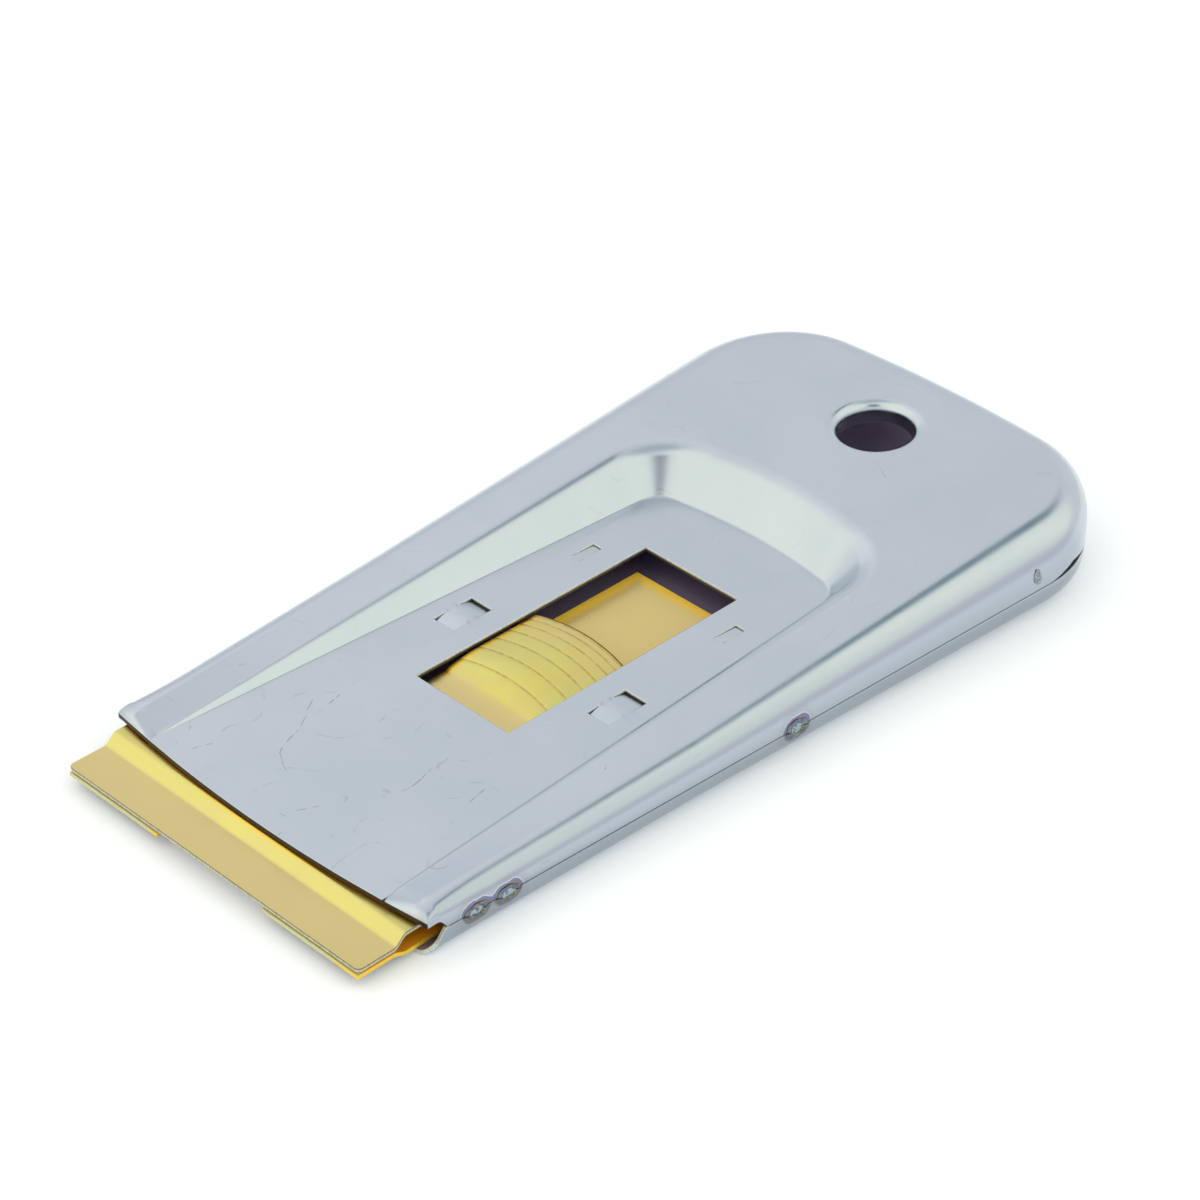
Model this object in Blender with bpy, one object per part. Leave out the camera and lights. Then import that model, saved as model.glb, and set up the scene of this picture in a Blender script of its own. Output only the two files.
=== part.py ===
"""Window scraper: a stamped two-shell handle with a blade carrier that slides out of its mouth.

Sizes are millimetres and become metres when a mesh is made. X runs across the handle, Y from the jaws
(negative) to the hang hole (positive), Z up from the table. Every sheet piece is drawn as its right half,
an outer and an inner skin with the same layout, then mirrored and closed along its edges.
"""
import math

import bmesh
import bpy
from mathutils import Matrix, Vector

MM = 0.001

# Handle outline
HALF_WIDTH = 24.66
HALF_WIDTH_RISE = 0.051
REAR_Y = 52.2
REAR_RADIUS = 240.0
CORNER_RADIUS = 13.5
LIP_Y = -47.12
LIP_SWEEP = 1.8
LIP_HALF = 21.0

# Top shell
TOP_SHEET = 0.55
TOP_HEIGHT = 7.113
TOP_RISE = 0.0635
CROWN = 0.093
SEAM_Z = 3.12
SEAM_RISE = 0.0105
ROLL_SHARE = 0.85
REAR_ROLL_SHARE = 0.45
ROLL_LEAST = 0.12
MOUTH_CORNER_FRONT = -43.4
MOUTH_CORNER_END = -42.7
MOUTH_CORNER_Z = 3.4
FRONT_LIFT = 1.45
FRONT_LIFT_X = 16.9
FRONT_LIFT_END = -10.0
NOSE_LENGTH = 1.2
NOSE_ROWS = (0.0, 0.18, 0.6, NOSE_LENGTH)
CORNER_GAP_LIFT = 0.45
CORNER_GAP_Y = 41.1
CORNER_GAP_HALF = 2.4
ROLL_CUT_STEP = 0.05

# Sunken floor of the top shell
FLOOR_Z = 4.1
FOOT_X = 14.109
FOOT_TAPER = 0.056
FOOT_CORNER = 3.6
FOOT_BACK_Y = 21.5
RIM_SHARE = 1.142
RIM_LEAST = 0.02
RIM_CORNER = 9.0
RIM_BACK_Y = 26.95
DEPTH_LEAST = 0.03
WALL_ANGLE = math.radians(55.0)
WINDOW_HALF = 6.55
WINDOW_FRONT = -20.15
WINDOW_REAR = 11.95

# Lances in the sunken floor
END_SLIT = 0.2
SIDE_SLIT = 0.1
BRIDGE_IN = 9.53
BRIDGE_OUT = 12.5
BRIDGE_FRONT = -12.4
BRIDGE_REAR = -7.1
BRIDGE_DROP = 0.85
BRIDGE_HOLD = 1.0
RAMP_OUT = 10.8
RAMP_FRONT = 5.4
RAMP_REAR = 8.5
RAMP_DROP = 0.45

# Hang hole
HOLE_Y = 40.0
HOLE_RADIUS = 5.25
FLANGE_ROLL = 1.2
FLANGE_DEPTH = 2.4
TRAY_HOLE_RADIUS = 4.6
TRAY_FLANGE_ROLL = 0.8
TRAY_FLANGE_DEPTH = 1.7

# Bottom shell
TRAY_SHEET = 0.5
SEAM_GAP = 0.15
TRAY_WALL_FRONT = -42.8
TRAY_ROLL_FRONT = 1.5
TRAY_ROLL_RISE = 0.035
TRAY_ROLL_MOST = 2.6

# Blade carrier
CARRIER_SHEET = 0.45
JAW_FRONT = -52.2
JAW_HALF = 20.9
JAW_CORNER = 0.5
JAW_Z = 2.3
UPPER_PLATE_Z = 2.95
STEP_FRONT = -47.9
STEP_REAR = -46.6
SHOULDER_Y = -27.7
NECK_HALF = 8.9
NECK_REAR = -24.9
TAB_HALF = 20.4
TAB_INNER = 7.6
TAB_NOTCH_Y = -48.5
TAB_Z = 1.55
LOWER_PLATE_Z = 1.05
TAIL_HALF = 6.3
TAIL_REAR = 10.5
TAIL_RISE_FRONT = -22.2
TAIL_RISE_REAR = -4.2
TAIL_Z = 1.8
STUD_X = 5.4
STUD_Y = -26.4
STUD_RADIUS = 1.2
STUD_GAP = 0.03
STUD_SIDES = 24

# Thumb tongue
TONGUE_FRONT = -24.6
TONGUE_HALF = 6.3
TONGUE_COLUMNS = (0.0, 1.6, 3.2, 4.6, 5.6, TONGUE_HALF)
BUMP_FRONT = -16.6
BUMP_LEAD = 2.0
BUMP_REAR = -3.3
BUMP_RISE = 5.0
BUMP_HEIGHT = 0.95
BUMP_EDGE_SHARE = 0.55
BUMP_BOW = 0.018
BUMP_BOW_LEAD = 1.3
RIDGES = 8
RIDGE_CLOSING = 1.8
RIDGE_HEIGHT = 0.12
RIDGE_STEP_SHARE = 0.25
EAR_FRONT = -6.5
EAR_REAR = -4.8
EAR_BEND_X = 7.2
EAR_HALF = 11.4

# Blade
BLADE_HALF = 19.4
BLADE_FRONT = -51.9
BLADE_REAR = -33.9
BLADE_BEVEL = 2.0
BLADE_BOTTOM = 1.6
BLADE_TOP = 1.8

# Weld spots along the side seam: distance along the handle, height, half length, half height
WELDS = {
    "weld_front_{}_a": (-39.3, 2.65, 1.2, 0.8),
    "weld_front_{}_b": (-35.5, 2.7, 1.2, 0.8),
    "weld_mid_{}": (1.3, 3.1, 1.5, 1.0),
    "weld_rear_{}": (35.5, 5.2, 0.6, 0.9),
}
WELD_PROUD = 0.2
WELD_GAP = 0.03
WELD_SIDES = 20
WELD_RINGS = 3

# Lengthwise stations shared by the floor, walls and sides of the top shell
BRIDGE_MIDDLE = (BRIDGE_FRONT + BRIDGE_REAR) / 2
RECESS_TURN_Y = 17.1
LIP_ROWS = (LIP_Y,) * len(NOSE_ROWS)
MOUTH_ROWS = (MOUTH_CORNER_FRONT, MOUTH_CORNER_END, -36.2, -28.2, WINDOW_FRONT)
BRIDGE_FRONT_ROWS = (BRIDGE_FRONT, BRIDGE_FRONT + END_SLIT, BRIDGE_MIDDLE - BRIDGE_HOLD)
BRIDGE_REAR_ROWS = (BRIDGE_MIDDLE + BRIDGE_HOLD, BRIDGE_REAR - END_SLIT, BRIDGE_REAR)
RAMP_ROWS = (-0.9, RAMP_FRONT, RAMP_REAR, RAMP_REAR + END_SLIT)
FLOOR_ROWS = MOUTH_ROWS + BRIDGE_FRONT_ROWS + BRIDGE_REAR_ROWS + RAMP_ROWS
SIDE_ROWS = LIP_ROWS + FLOOR_ROWS + (WINDOW_REAR, RECESS_TURN_Y)
TRAY_ROWS = (TRAY_WALL_FRONT, -36.2, -25.2, -12.2, 4.8, RECESS_TURN_Y)
RAMP_COLUMNS = (BRIDGE_IN, BRIDGE_IN + SIDE_SLIT, 10.2, RAMP_OUT - SIDE_SLIT, RAMP_OUT)
FLOOR_COLUMNS = (0.0, WINDOW_HALF) + RAMP_COLUMNS + (BRIDGE_OUT - SIDE_SLIT, BRIDGE_OUT)
SIDE_STEPS = 4
CORNER_STEPS = 7
CORNER_SOLVES = 20
REAR_STEPS = 5
RIM_CORNER_STEPS = 7
ROLL_STEPS = 6
BEND_STEPS = 3
BAND_FRONT_STEPS = 3
BAND_HOLE_STEPS = 12
BAND_REAR_STEPS = 2
FLANGE_STEPS = 3
TRAY_FRONT_STEPS = 5
JAW_STEP_STEPS = 6
TAIL_STEPS = 5

COLOURS = {
    "nickel_steel": ((0.62, 0.65, 0.70, 1.0), 0.28),
    "yellow_zinc": ((0.66, 0.55, 0.22, 1.0), 0.35),
    "blade_steel": ((0.55, 0.57, 0.60, 1.0), 0.25),
    "weld_metal": ((0.30, 0.31, 0.33, 1.0), 0.40),
}


class Sheet:
    """Right half of a sheet piece: matching outer and inner points, and faces over them."""

    def __init__(self):
        self.outer = []
        self.inner = []
        self.faces = []

    def point(self, outer, inner):
        self.outer.append(outer)
        self.inner.append(inner)
        return len(self.outer) - 1

    def strip(self, rows):
        for first, second in zip(rows, rows[1:]):
            for k in range(len(first) - 1):
                self.faces.append((first[k], first[k + 1], second[k + 1], second[k]))


def mix(a, b, share):
    return tuple(p + (q - p) * share for p, q in zip(a, b))


def spaced(start, end, steps):
    return [start + (end - start) * k / steps for k in range(steps + 1)]


def make_object(name, verts, faces, slot):
    """Closed mesh object in metres with its faces turned outward."""
    mesh = bpy.data.meshes.new(name)
    mesh.from_pydata([(x * MM, y * MM, z * MM) for x, y, z in verts], [], faces)
    work = bmesh.new()
    work.from_mesh(mesh)
    bmesh.ops.recalc_face_normals(work, faces=work.faces)
    work.to_mesh(mesh)
    work.free()
    colour, roughness = COLOURS[slot]
    material = bpy.data.materials.new(name)
    material.use_nodes = True
    shader = material.node_tree.nodes["Principled BSDF"]
    shader.inputs["Base Color"].default_value = colour
    shader.inputs["Metallic"].default_value = 1.0
    shader.inputs["Roughness"].default_value = roughness
    mesh.materials.append(material)
    result = bpy.data.objects.new(name, mesh)
    bpy.context.scene.collection.objects.link(result)
    return result


def close_sheet(name, sheet, slot):
    """Mirror the half sheet, join its two skins along every open edge, and make the object."""
    count = len(sheet.outer)
    twin = {}
    outer = list(sheet.outer)
    inner = list(sheet.inner)
    for i in range(count):
        x, y, z = sheet.outer[i]
        if x == 0.0:
            twin[i] = i
            continue
        twin[i] = len(outer)
        outer.append((-x, y, z))
        inner.append((-sheet.inner[i][0], sheet.inner[i][1], sheet.inner[i][2]))
    faces = [tuple(face) for face in sheet.faces]
    faces += [tuple(twin[i] for i in reversed(face)) for face in sheet.faces]
    edges = set()
    for face in faces:
        edges.update(zip(face, face[1:] + face[:1]))
    shift = len(outer)
    skin = [tuple(i + shift for i in reversed(face)) for face in faces]
    rim = [(b, a, a + shift, b + shift) for a, b in edges if (b, a) not in edges]
    return make_object(name, outer + inner, faces + skin + rim, slot)


def half_width(y):
    return HALF_WIDTH + HALF_WIDTH_RISE * y


def top_height(x, y):
    """Height of the ridges and plateau: a slight crown across, and ridges that lift outward at the front."""
    height = TOP_HEIGHT + TOP_RISE * y
    crown = CROWN * (height - seam_z(y)) * (x / half_width(y)) ** 2
    outward = max(0.0, (x - FRONT_LIFT_X) / (half_width(y) - FRONT_LIFT_X))
    forward = max(0.0, (FRONT_LIFT_END - y) / (FRONT_LIFT_END - LIP_Y))
    return height - crown + FRONT_LIFT * outward * forward


def seam_z(y):
    """Lower edge of the top shell, where the two shells meet."""
    return SEAM_Z + SEAM_RISE * y


def lip_y(x):
    return LIP_Y + LIP_SWEEP * (x / LIP_HALF) ** 2


def foot_x(y):
    return FOOT_X - FOOT_TAPER * y


def rim_x(y):
    """Rim of the recess: the wall and the bend at its top take more room where the recess is deeper."""
    return foot_x(y) + RIM_LEAST + RIM_SHARE * (TOP_HEIGHT + TOP_RISE * y - FLOOR_Z)


def nosed(point, behind, floor):
    """Point of a row at a distance behind the lip, where the ridges end in a round nose."""
    x, _, z = point
    keep = math.sqrt(1 - (1 - behind / NOSE_LENGTH) ** 2)
    return x, lip_y(x) + behind, min(z, floor + max(0.0, z - floor) * keep)


def corner_centre():
    """Centre of the rear corner circle, which touches the side line and the bowed rear."""
    y = REAR_Y - CORNER_RADIUS
    for _ in range(CORNER_SOLVES):
        x = half_width(y) - CORNER_RADIUS * math.hypot(1.0, HALF_WIDTH_RISE)
        y = REAR_Y - REAR_RADIUS + math.sqrt((REAR_RADIUS - CORNER_RADIUS) ** 2 - x * x)
    return x, y


def outline(side_rows):
    """Right half of the handle plan from the front to the rear middle, as points with outward normals."""
    lean = math.atan(HALF_WIDTH_RISE)
    centre_x, centre_y = corner_centre()
    rear_centre = REAR_Y - REAR_RADIUS
    side_end = centre_y - CORNER_RADIUS * math.sin(lean)
    arc_end = math.atan2(centre_y - rear_centre, centre_x)
    stations = list(side_rows)
    for i in range(1, SIDE_STEPS + 1):
        stations.append(side_rows[-1] + (side_end - side_rows[-1]) * i / SIDE_STEPS)
    points = [(half_width(y), y, math.cos(lean), -math.sin(lean)) for y in stations]
    for i in range(1, CORNER_STEPS + 1):
        turn = -lean + (arc_end + lean) * i / CORNER_STEPS
        away = (math.cos(turn), math.sin(turn))
        points.append((centre_x + CORNER_RADIUS * away[0], centre_y + CORNER_RADIUS * away[1], *away))
    for i in range(1, REAR_STEPS + 1):
        turn = arc_end + (math.pi / 2 - arc_end) * i / REAR_STEPS
        away = (math.cos(turn), math.sin(turn))
        points.append((REAR_RADIUS * away[0], rear_centre + REAR_RADIUS * away[1], *away))
    points[-1] = (0.0, REAR_Y, 0.0, 1.0)
    return points


def recess_path(side_x, corner, back_y):
    """Plan line round the recess: straight side, round rear corner, slightly bowed back."""
    points = [(side_x(y), y) for y in SIDE_ROWS]
    centre_x = side_x(RECESS_TURN_Y) - corner
    for i in range(1, RIM_CORNER_STEPS + 1):
        turn = math.pi / 2 * i / RIM_CORNER_STEPS
        points.append((centre_x + corner * math.cos(turn), RECESS_TURN_Y + corner * math.sin(turn)))
    back_steps = SIDE_STEPS + CORNER_STEPS + REAR_STEPS - RIM_CORNER_STEPS
    for i in range(1, back_steps + 1):
        x = centre_x * (1 - i / back_steps)
        points.append((x, back_y - (back_y - RECESS_TURN_Y - corner) * (x / centre_x) ** 2))
    return points


def skirt_bottom(y):
    """Lower edge of the top shell: cut away at the mouth corners, lifted a little at the rear corners."""
    if y <= MOUTH_CORNER_FRONT:
        return MOUTH_CORNER_Z
    gap = max(0.0, 1.0 - abs(y - CORNER_GAP_Y) / CORNER_GAP_HALF)
    return seam_z(y) + CORNER_GAP_LIFT * gap


def rolled_edge(point, inset, crest, roll, rise, bottom):
    """Skirt and rolled edge of one skin: up from its bottom, then over to the crest."""
    x, y, away_x, away_y = point
    cut = math.asin(max(0.0, 1 - (crest - bottom) / rise))
    turns = [cut]
    first = cut + ROLL_CUT_STEP if cut > 0.0 else 0.0
    turns += [first + (math.pi / 2 - first) * k / ROLL_STEPS for k in range(ROLL_STEPS + 1)]
    skin = []
    for k, turn in enumerate(turns):
        reach = inset + roll * (1 - math.cos(turn))
        height = bottom if k == 0 else crest - rise * (1 - math.sin(turn))
        skin.append((x - away_x * reach, y - away_y * reach, height))
    return skin


def side_and_roll(point):
    """Skirt and rolled edge at one outline point, outer and inner, ending at the crest."""
    x, y, away_x, away_y = point
    share = ROLL_SHARE + (REAR_ROLL_SHARE - ROLL_SHARE) * max(0.0, away_y)
    roll = share * (top_height(x, y) - seam_z(y))
    crest = top_height(x - away_x * roll, y - away_y * roll)
    rise = share * (crest - seam_z(y))
    bottom = skirt_bottom(y)
    outer = rolled_edge(point, 0.0, crest, roll, rise, bottom)
    inner = rolled_edge(point, TOP_SHEET, crest - TOP_SHEET, max(roll - TOP_SHEET, ROLL_LEAST),
                        max(rise - TOP_SHEET, ROLL_LEAST), bottom)
    return outer, inner


def wall_skin(foot, out, run, top, bend):
    """Round bend at the top of one skin of the recess wall, from its rim down to the straight part."""
    points = []
    for turn in spaced(0.0, WALL_ANGLE, BEND_STEPS):
        reach = run - bend * math.sin(turn)
        points.append((foot[0] + out[0] * reach, foot[1] + out[1] * reach, top - bend * (1 - math.cos(turn))))
    return points


def recess_wall(rim, foot):
    """Recess wall from its rim to its foot, outer and inner."""
    depth = max(DEPTH_LEAST, top_height(*rim) - FLOOR_Z)
    run = math.dist(rim, foot)
    out = ((rim[0] - foot[0]) / run, (rim[1] - foot[1]) / run)
    slope_run = depth / math.tan(WALL_ANGLE)
    lean = math.tan(WALL_ANGLE / 2)
    bend = (run - slope_run) / lean
    bend_in = max(bend - TOP_SHEET, ROLL_LEAST)
    shift = TOP_SHEET * lean
    run_in = shift + slope_run + bend_in * lean
    outer = wall_skin(foot, out, run, FLOOR_Z + depth, bend)
    inner = wall_skin(foot, out, run_in, FLOOR_Z + depth - TOP_SHEET, bend_in)
    outer.append((*foot, FLOOR_Z))
    inner.append((foot[0] + out[0] * shift, foot[1] + out[1] * shift, FLOOR_Z - TOP_SHEET))
    return outer, inner


def hole_path(crest_y, rim_y):
    """Middle edge of the plateau from the rear crest to the recess rim, passing round the hang hole."""
    points = []
    for i in range(BAND_REAR_STEPS):
        points.append((0.0, crest_y + (HOLE_Y + HOLE_RADIUS - crest_y) * i / BAND_REAR_STEPS))
    for i in range(BAND_HOLE_STEPS + 1):
        turn = math.pi * i / BAND_HOLE_STEPS
        points.append((HOLE_RADIUS * math.sin(turn), HOLE_Y + HOLE_RADIUS * math.cos(turn)))
    points[BAND_REAR_STEPS] = (0.0, HOLE_Y + HOLE_RADIUS)
    points[-1] = (0.0, HOLE_Y - HOLE_RADIUS)
    for i in range(1, BAND_FRONT_STEPS + 1):
        points.append((0.0, HOLE_Y - HOLE_RADIUS + (rim_y - HOLE_Y + HOLE_RADIUS) * i / BAND_FRONT_STEPS))
    return points


def plateau_band(crests, rims, first_back):
    """Plan points between the crest line and the recess rim, one row per station."""
    steps = BAND_REAR_STEPS + BAND_HOLE_STEPS + BAND_FRONT_STEPS
    last = len(crests) - 1
    middle = hole_path(crests[last][1], rims[last][1])
    rows = []
    for i in range(len(crests)):
        across = max(0.0, (i - first_back) / (last - first_back))
        row = []
        for k in range(1, steps):
            share = k / steps
            straight = mix(crests[i], rims[i], share)
            middle_straight = mix(crests[last], rims[last], share)
            row.append(tuple(straight[n] + across * (middle[k][n] - middle_straight[n]) for n in (0, 1)))
        rows.append(row)
    return rows


def from_bridge_middle(y):
    return abs(y - BRIDGE_MIDDLE)


def lance_drop(x, y):
    """How far the floor is pressed down: at both ends of a bridge, and towards the rear of a ramp."""
    half = (BRIDGE_REAR - BRIDGE_FRONT) / 2
    if from_bridge_middle(y) < half and BRIDGE_IN < x < BRIDGE_OUT:
        return BRIDGE_DROP * (from_bridge_middle(y) / half) ** 2
    if RAMP_FRONT < y <= RAMP_REAR and BRIDGE_IN < x < RAMP_OUT:
        return RAMP_DROP * (y - RAMP_FRONT) / (RAMP_REAR - RAMP_FRONT)
    return 0.0


def bridge_cut(x, y):
    """True in the slits round a bridge, which is held only at the middle of its sides."""
    half = (BRIDGE_REAR - BRIDGE_FRONT) / 2
    on_bridge = BRIDGE_IN < x < BRIDGE_OUT and from_bridge_middle(y) < half
    at_end = from_bridge_middle(y) > half - END_SLIT
    beside = x < BRIDGE_IN + SIDE_SLIT or x > BRIDGE_OUT - SIDE_SLIT
    return on_bridge and (at_end or (beside and from_bridge_middle(y) > BRIDGE_HOLD))


def floor_open(x, y):
    """True in the window and in the sheared slits, at the middle of a floor cell."""
    in_window = x < WINDOW_HALF and WINDOW_FRONT < y < WINDOW_REAR
    on_ramp = BRIDGE_IN < x < RAMP_OUT and RAMP_FRONT < y < RAMP_REAR + END_SLIT
    beside_ramp = x < BRIDGE_IN + SIDE_SLIT or x > RAMP_OUT - SIDE_SLIT or y > RAMP_REAR
    return in_window or bridge_cut(x, y) or (on_ramp and beside_ramp)


def top_shell():
    sheet = Sheet()
    plan = outline(SIDE_ROWS)
    first_back = len(SIDE_ROWS) - 1
    rims = recess_path(rim_x, RIM_CORNER, RIM_BACK_Y)
    feet = recess_path(foot_x, FOOT_CORNER, FOOT_BACK_Y)
    sides = [side_and_roll(point) for point in plan]
    walls = [recess_wall(rim, foot) for rim, foot in zip(rims, feet)]
    outer_bands = plateau_band([side[0][-1][:2] for side in sides], rims, first_back)
    inner_bands = plateau_band([side[1][-1][:2] for side in sides], [wall[1][0][:2] for wall in walls],
                               first_back)
    rows = []
    for i in range(len(plan)):
        outer_band = [(x, y, top_height(x, y)) for x, y in outer_bands[i]]
        inner_band = [(x, y, top_height(x, y) - TOP_SHEET) for x, y in inner_bands[i]]
        outer = sides[i][0] + outer_band + walls[i][0]
        inner = sides[i][1] + inner_band + walls[i][1]
        if i < len(NOSE_ROWS):
            outer = [nosed(point, NOSE_ROWS[i], FLOOR_Z) for point in outer]
            inner = [nosed(point, NOSE_ROWS[i], FLOOR_Z - TOP_SHEET) for point in inner]
        rows.append([sheet.point(p, q) for p, q in zip(outer, inner)])
    sheet.strip(rows)
    add_floor(sheet, rows)
    start = ROLL_STEPS + 2
    add_flange(sheet, rows[-1][start + BAND_REAR_STEPS - 1:start + BAND_REAR_STEPS + BAND_HOLE_STEPS])
    return close_sheet("top_shell", sheet, "nickel_steel")


def add_floor(sheet, rows):
    """Flat recess floor with its window and lances, joined to the foot of the recess walls."""
    grid = []
    for i, y in enumerate(SIDE_ROWS):
        row = []
        for x in FLOOR_COLUMNS:
            along = lip_y(x) + NOSE_ROWS[i] if i < len(NOSE_ROWS) else y
            z = FLOOR_Z - lance_drop(x, y)
            row.append(sheet.point((x, along, z), (x, along, z - TOP_SHEET)))
        grid.append(row + [rows[i][-1]])
    columns = FLOOR_COLUMNS + (FOOT_X,)
    for i in range(len(SIDE_ROWS) - 1):
        y = (SIDE_ROWS[i] + SIDE_ROWS[i + 1]) / 2
        for k in range(len(columns) - 1):
            if not floor_open((columns[k] + columns[k + 1]) / 2, y):
                sheet.faces.append((grid[i][k + 1], grid[i][k], grid[i + 1][k], grid[i + 1][k + 1]))
    back = [row[-1] for row in rows[len(SIDE_ROWS):]]
    sheet.faces.append(tuple(reversed(grid[-1])) + tuple(reversed(back)))


def add_flange(sheet, ring):
    """Flange drawn down round the hang hole."""
    rows = [ring]
    for k in range(1, FLANGE_STEPS + 2):
        turn = math.pi / 2 * min(1.0, k / FLANGE_STEPS)
        inner_roll = FLANGE_ROLL - TOP_SHEET
        row = []
        for i in ring:
            x, y, z = sheet.outer[i]
            side, along = x / HOLE_RADIUS, (y - HOLE_Y) / HOLE_RADIUS
            radius = HOLE_RADIUS - FLANGE_ROLL * math.sin(turn)
            radius_in = HOLE_RADIUS - inner_roll * math.sin(turn)
            drop = FLANGE_ROLL * (1 - math.cos(turn))
            drop_in = TOP_SHEET + inner_roll * (1 - math.cos(turn))
            if k > FLANGE_STEPS:
                drop = drop_in = FLANGE_DEPTH
            row.append(sheet.point((side * radius, HOLE_Y + along * radius, z - drop),
                                   (side * radius_in, HOLE_Y + along * radius_in, z - drop_in)))
        rows.append(row)
    sheet.strip(rows)


def tray_roll(y):
    return min(TRAY_ROLL_MOST, TRAY_ROLL_FRONT + TRAY_ROLL_RISE * (y - TRAY_WALL_FRONT))


def tray_front(x, z, top):
    """Front edge of the tray, sweeping forward from the top of its wall to its floor."""
    return TRAY_WALL_FRONT + (lip_y(x) - TRAY_WALL_FRONT) * (1 - z / top)


def bottom_shell():
    sheet = Sheet()
    rows = []
    for i, (x, y, away_x, away_y) in enumerate(outline(TRAY_ROWS)):
        top = seam_z(y) - SEAM_GAP
        roll = tray_roll(y)
        outer = [(x, y, top)]
        inner = [(x - away_x * TRAY_SHEET, y - away_y * TRAY_SHEET, top)]
        for k in range(ROLL_STEPS + 1):
            turn = math.pi / 2 * k / ROLL_STEPS
            reach = roll * (1 - math.cos(turn))
            reach_in = TRAY_SHEET + (roll - TRAY_SHEET) * (1 - math.cos(turn))
            outer.append((x - away_x * reach, y - away_y * reach, roll * (1 - math.sin(turn))))
            inner.append((x - away_x * reach_in, y - away_y * reach_in,
                          TRAY_SHEET + (roll - TRAY_SHEET) * (1 - math.sin(turn))))
        if i == 0:
            fronts = [tray_front(p[0], p[2], top) for p in outer]
            outer = [(p[0], front, p[2]) for p, front in zip(outer, fronts)]
            inner = [(p[0], front, p[2]) for p, front in zip(inner, fronts)]
        rows.append([sheet.point(p, q) for p, q in zip(outer, inner)])
    sheet.strip(rows)
    add_tray_floor(sheet, [row[-1] for row in rows])
    return close_sheet("bottom_shell", sheet, "nickel_steel")


def add_tray_floor(sheet, edge):
    """Flat tray floor with its swept front edge, and the flange drawn up round its hang hole."""
    reach = sheet.outer[edge[0]][0]
    front = []
    for i in range(TRAY_FRONT_STEPS):
        x = reach * i / TRAY_FRONT_STEPS
        front.append(sheet.point((x, lip_y(x), 0.0), (x, lip_y(x), TRAY_SHEET)))
    hole = []
    for i in range(BAND_HOLE_STEPS + 1):
        turn = math.pi * i / BAND_HOLE_STEPS
        x = TRAY_HOLE_RADIUS * math.sin(turn) if 0 < i < BAND_HOLE_STEPS else 0.0
        y = HOLE_Y + TRAY_HOLE_RADIUS * math.cos(turn)
        hole.append(sheet.point((x, y, 0.0), (x, y, TRAY_SHEET)))
    sheet.faces.append(tuple(reversed(front + list(edge) + hole)))
    flange = [hole]
    roll_in = TRAY_FLANGE_ROLL - TRAY_SHEET
    for k in range(1, FLANGE_STEPS + 2):
        turn = math.pi / 2 * min(1.0, k / FLANGE_STEPS)
        row = []
        for i in hole:
            x, y, _ = sheet.outer[i]
            side, along = x / TRAY_HOLE_RADIUS, (y - HOLE_Y) / TRAY_HOLE_RADIUS
            radius = TRAY_HOLE_RADIUS - TRAY_FLANGE_ROLL * math.sin(turn)
            radius_in = TRAY_HOLE_RADIUS - roll_in * math.sin(turn)
            rise = TRAY_FLANGE_ROLL * (1 - math.cos(turn))
            rise_in = TRAY_SHEET + roll_in * (1 - math.cos(turn))
            if k > FLANGE_STEPS:
                rise = rise_in = TRAY_FLANGE_DEPTH
            row.append(sheet.point((side * radius, HOLE_Y + along * radius, rise),
                                   (side * radius_in, HOLE_Y + along * radius_in, rise_in)))
        flange.append(row)
    sheet.strip(flange)


def eased(y, start, end):
    """Share of the way from start to end, leaving and arriving level."""
    share = min(1.0, max(0.0, (y - start) / (end - start)))
    return share * share * (3 - 2 * share)


def flat_point(sheet, x, y, z):
    return sheet.point((x, y, z), (x, y, z - CARRIER_SHEET))


def upper_jaw():
    """Yellow upper sheet: jaw strip, step up, full-width plate and the neck that carries the tongue."""
    sheet = Sheet()
    stations = [JAW_FRONT, JAW_FRONT + JAW_CORNER]
    stations += spaced(STEP_FRONT, STEP_REAR, JAW_STEP_STEPS)
    stations += [SHOULDER_Y, NECK_REAR]
    wide_rows = []
    neck_rows = []
    for y in stations:
        z = JAW_Z + (UPPER_PLATE_Z - JAW_Z) * eased(y, STEP_FRONT, STEP_REAR)
        row = [flat_point(sheet, x, y, z) for x in (0.0, NECK_HALF)]
        neck_rows.append(row)
        if y <= SHOULDER_Y:
            row = row + [flat_point(sheet, JAW_HALF - JAW_CORNER, y, z)]
            if y > JAW_FRONT:
                row = row + [flat_point(sheet, JAW_HALF, y, z)]
            wide_rows.append(row)
    corner = JAW_CORNER * (1 - math.cos(math.pi / 4))
    bevel = flat_point(sheet, JAW_HALF - corner, JAW_FRONT + corner, JAW_Z)
    sheet.strip(neck_rows)
    sheet.strip([wide_rows[0][1:], wide_rows[1][1:3]])
    sheet.faces.append((wide_rows[0][2], bevel, wide_rows[1][3], wide_rows[1][2]))
    sheet.strip([row[1:] for row in wide_rows[1:]])
    return close_sheet("upper_jaw", sheet, "yellow_zinc")


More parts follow.
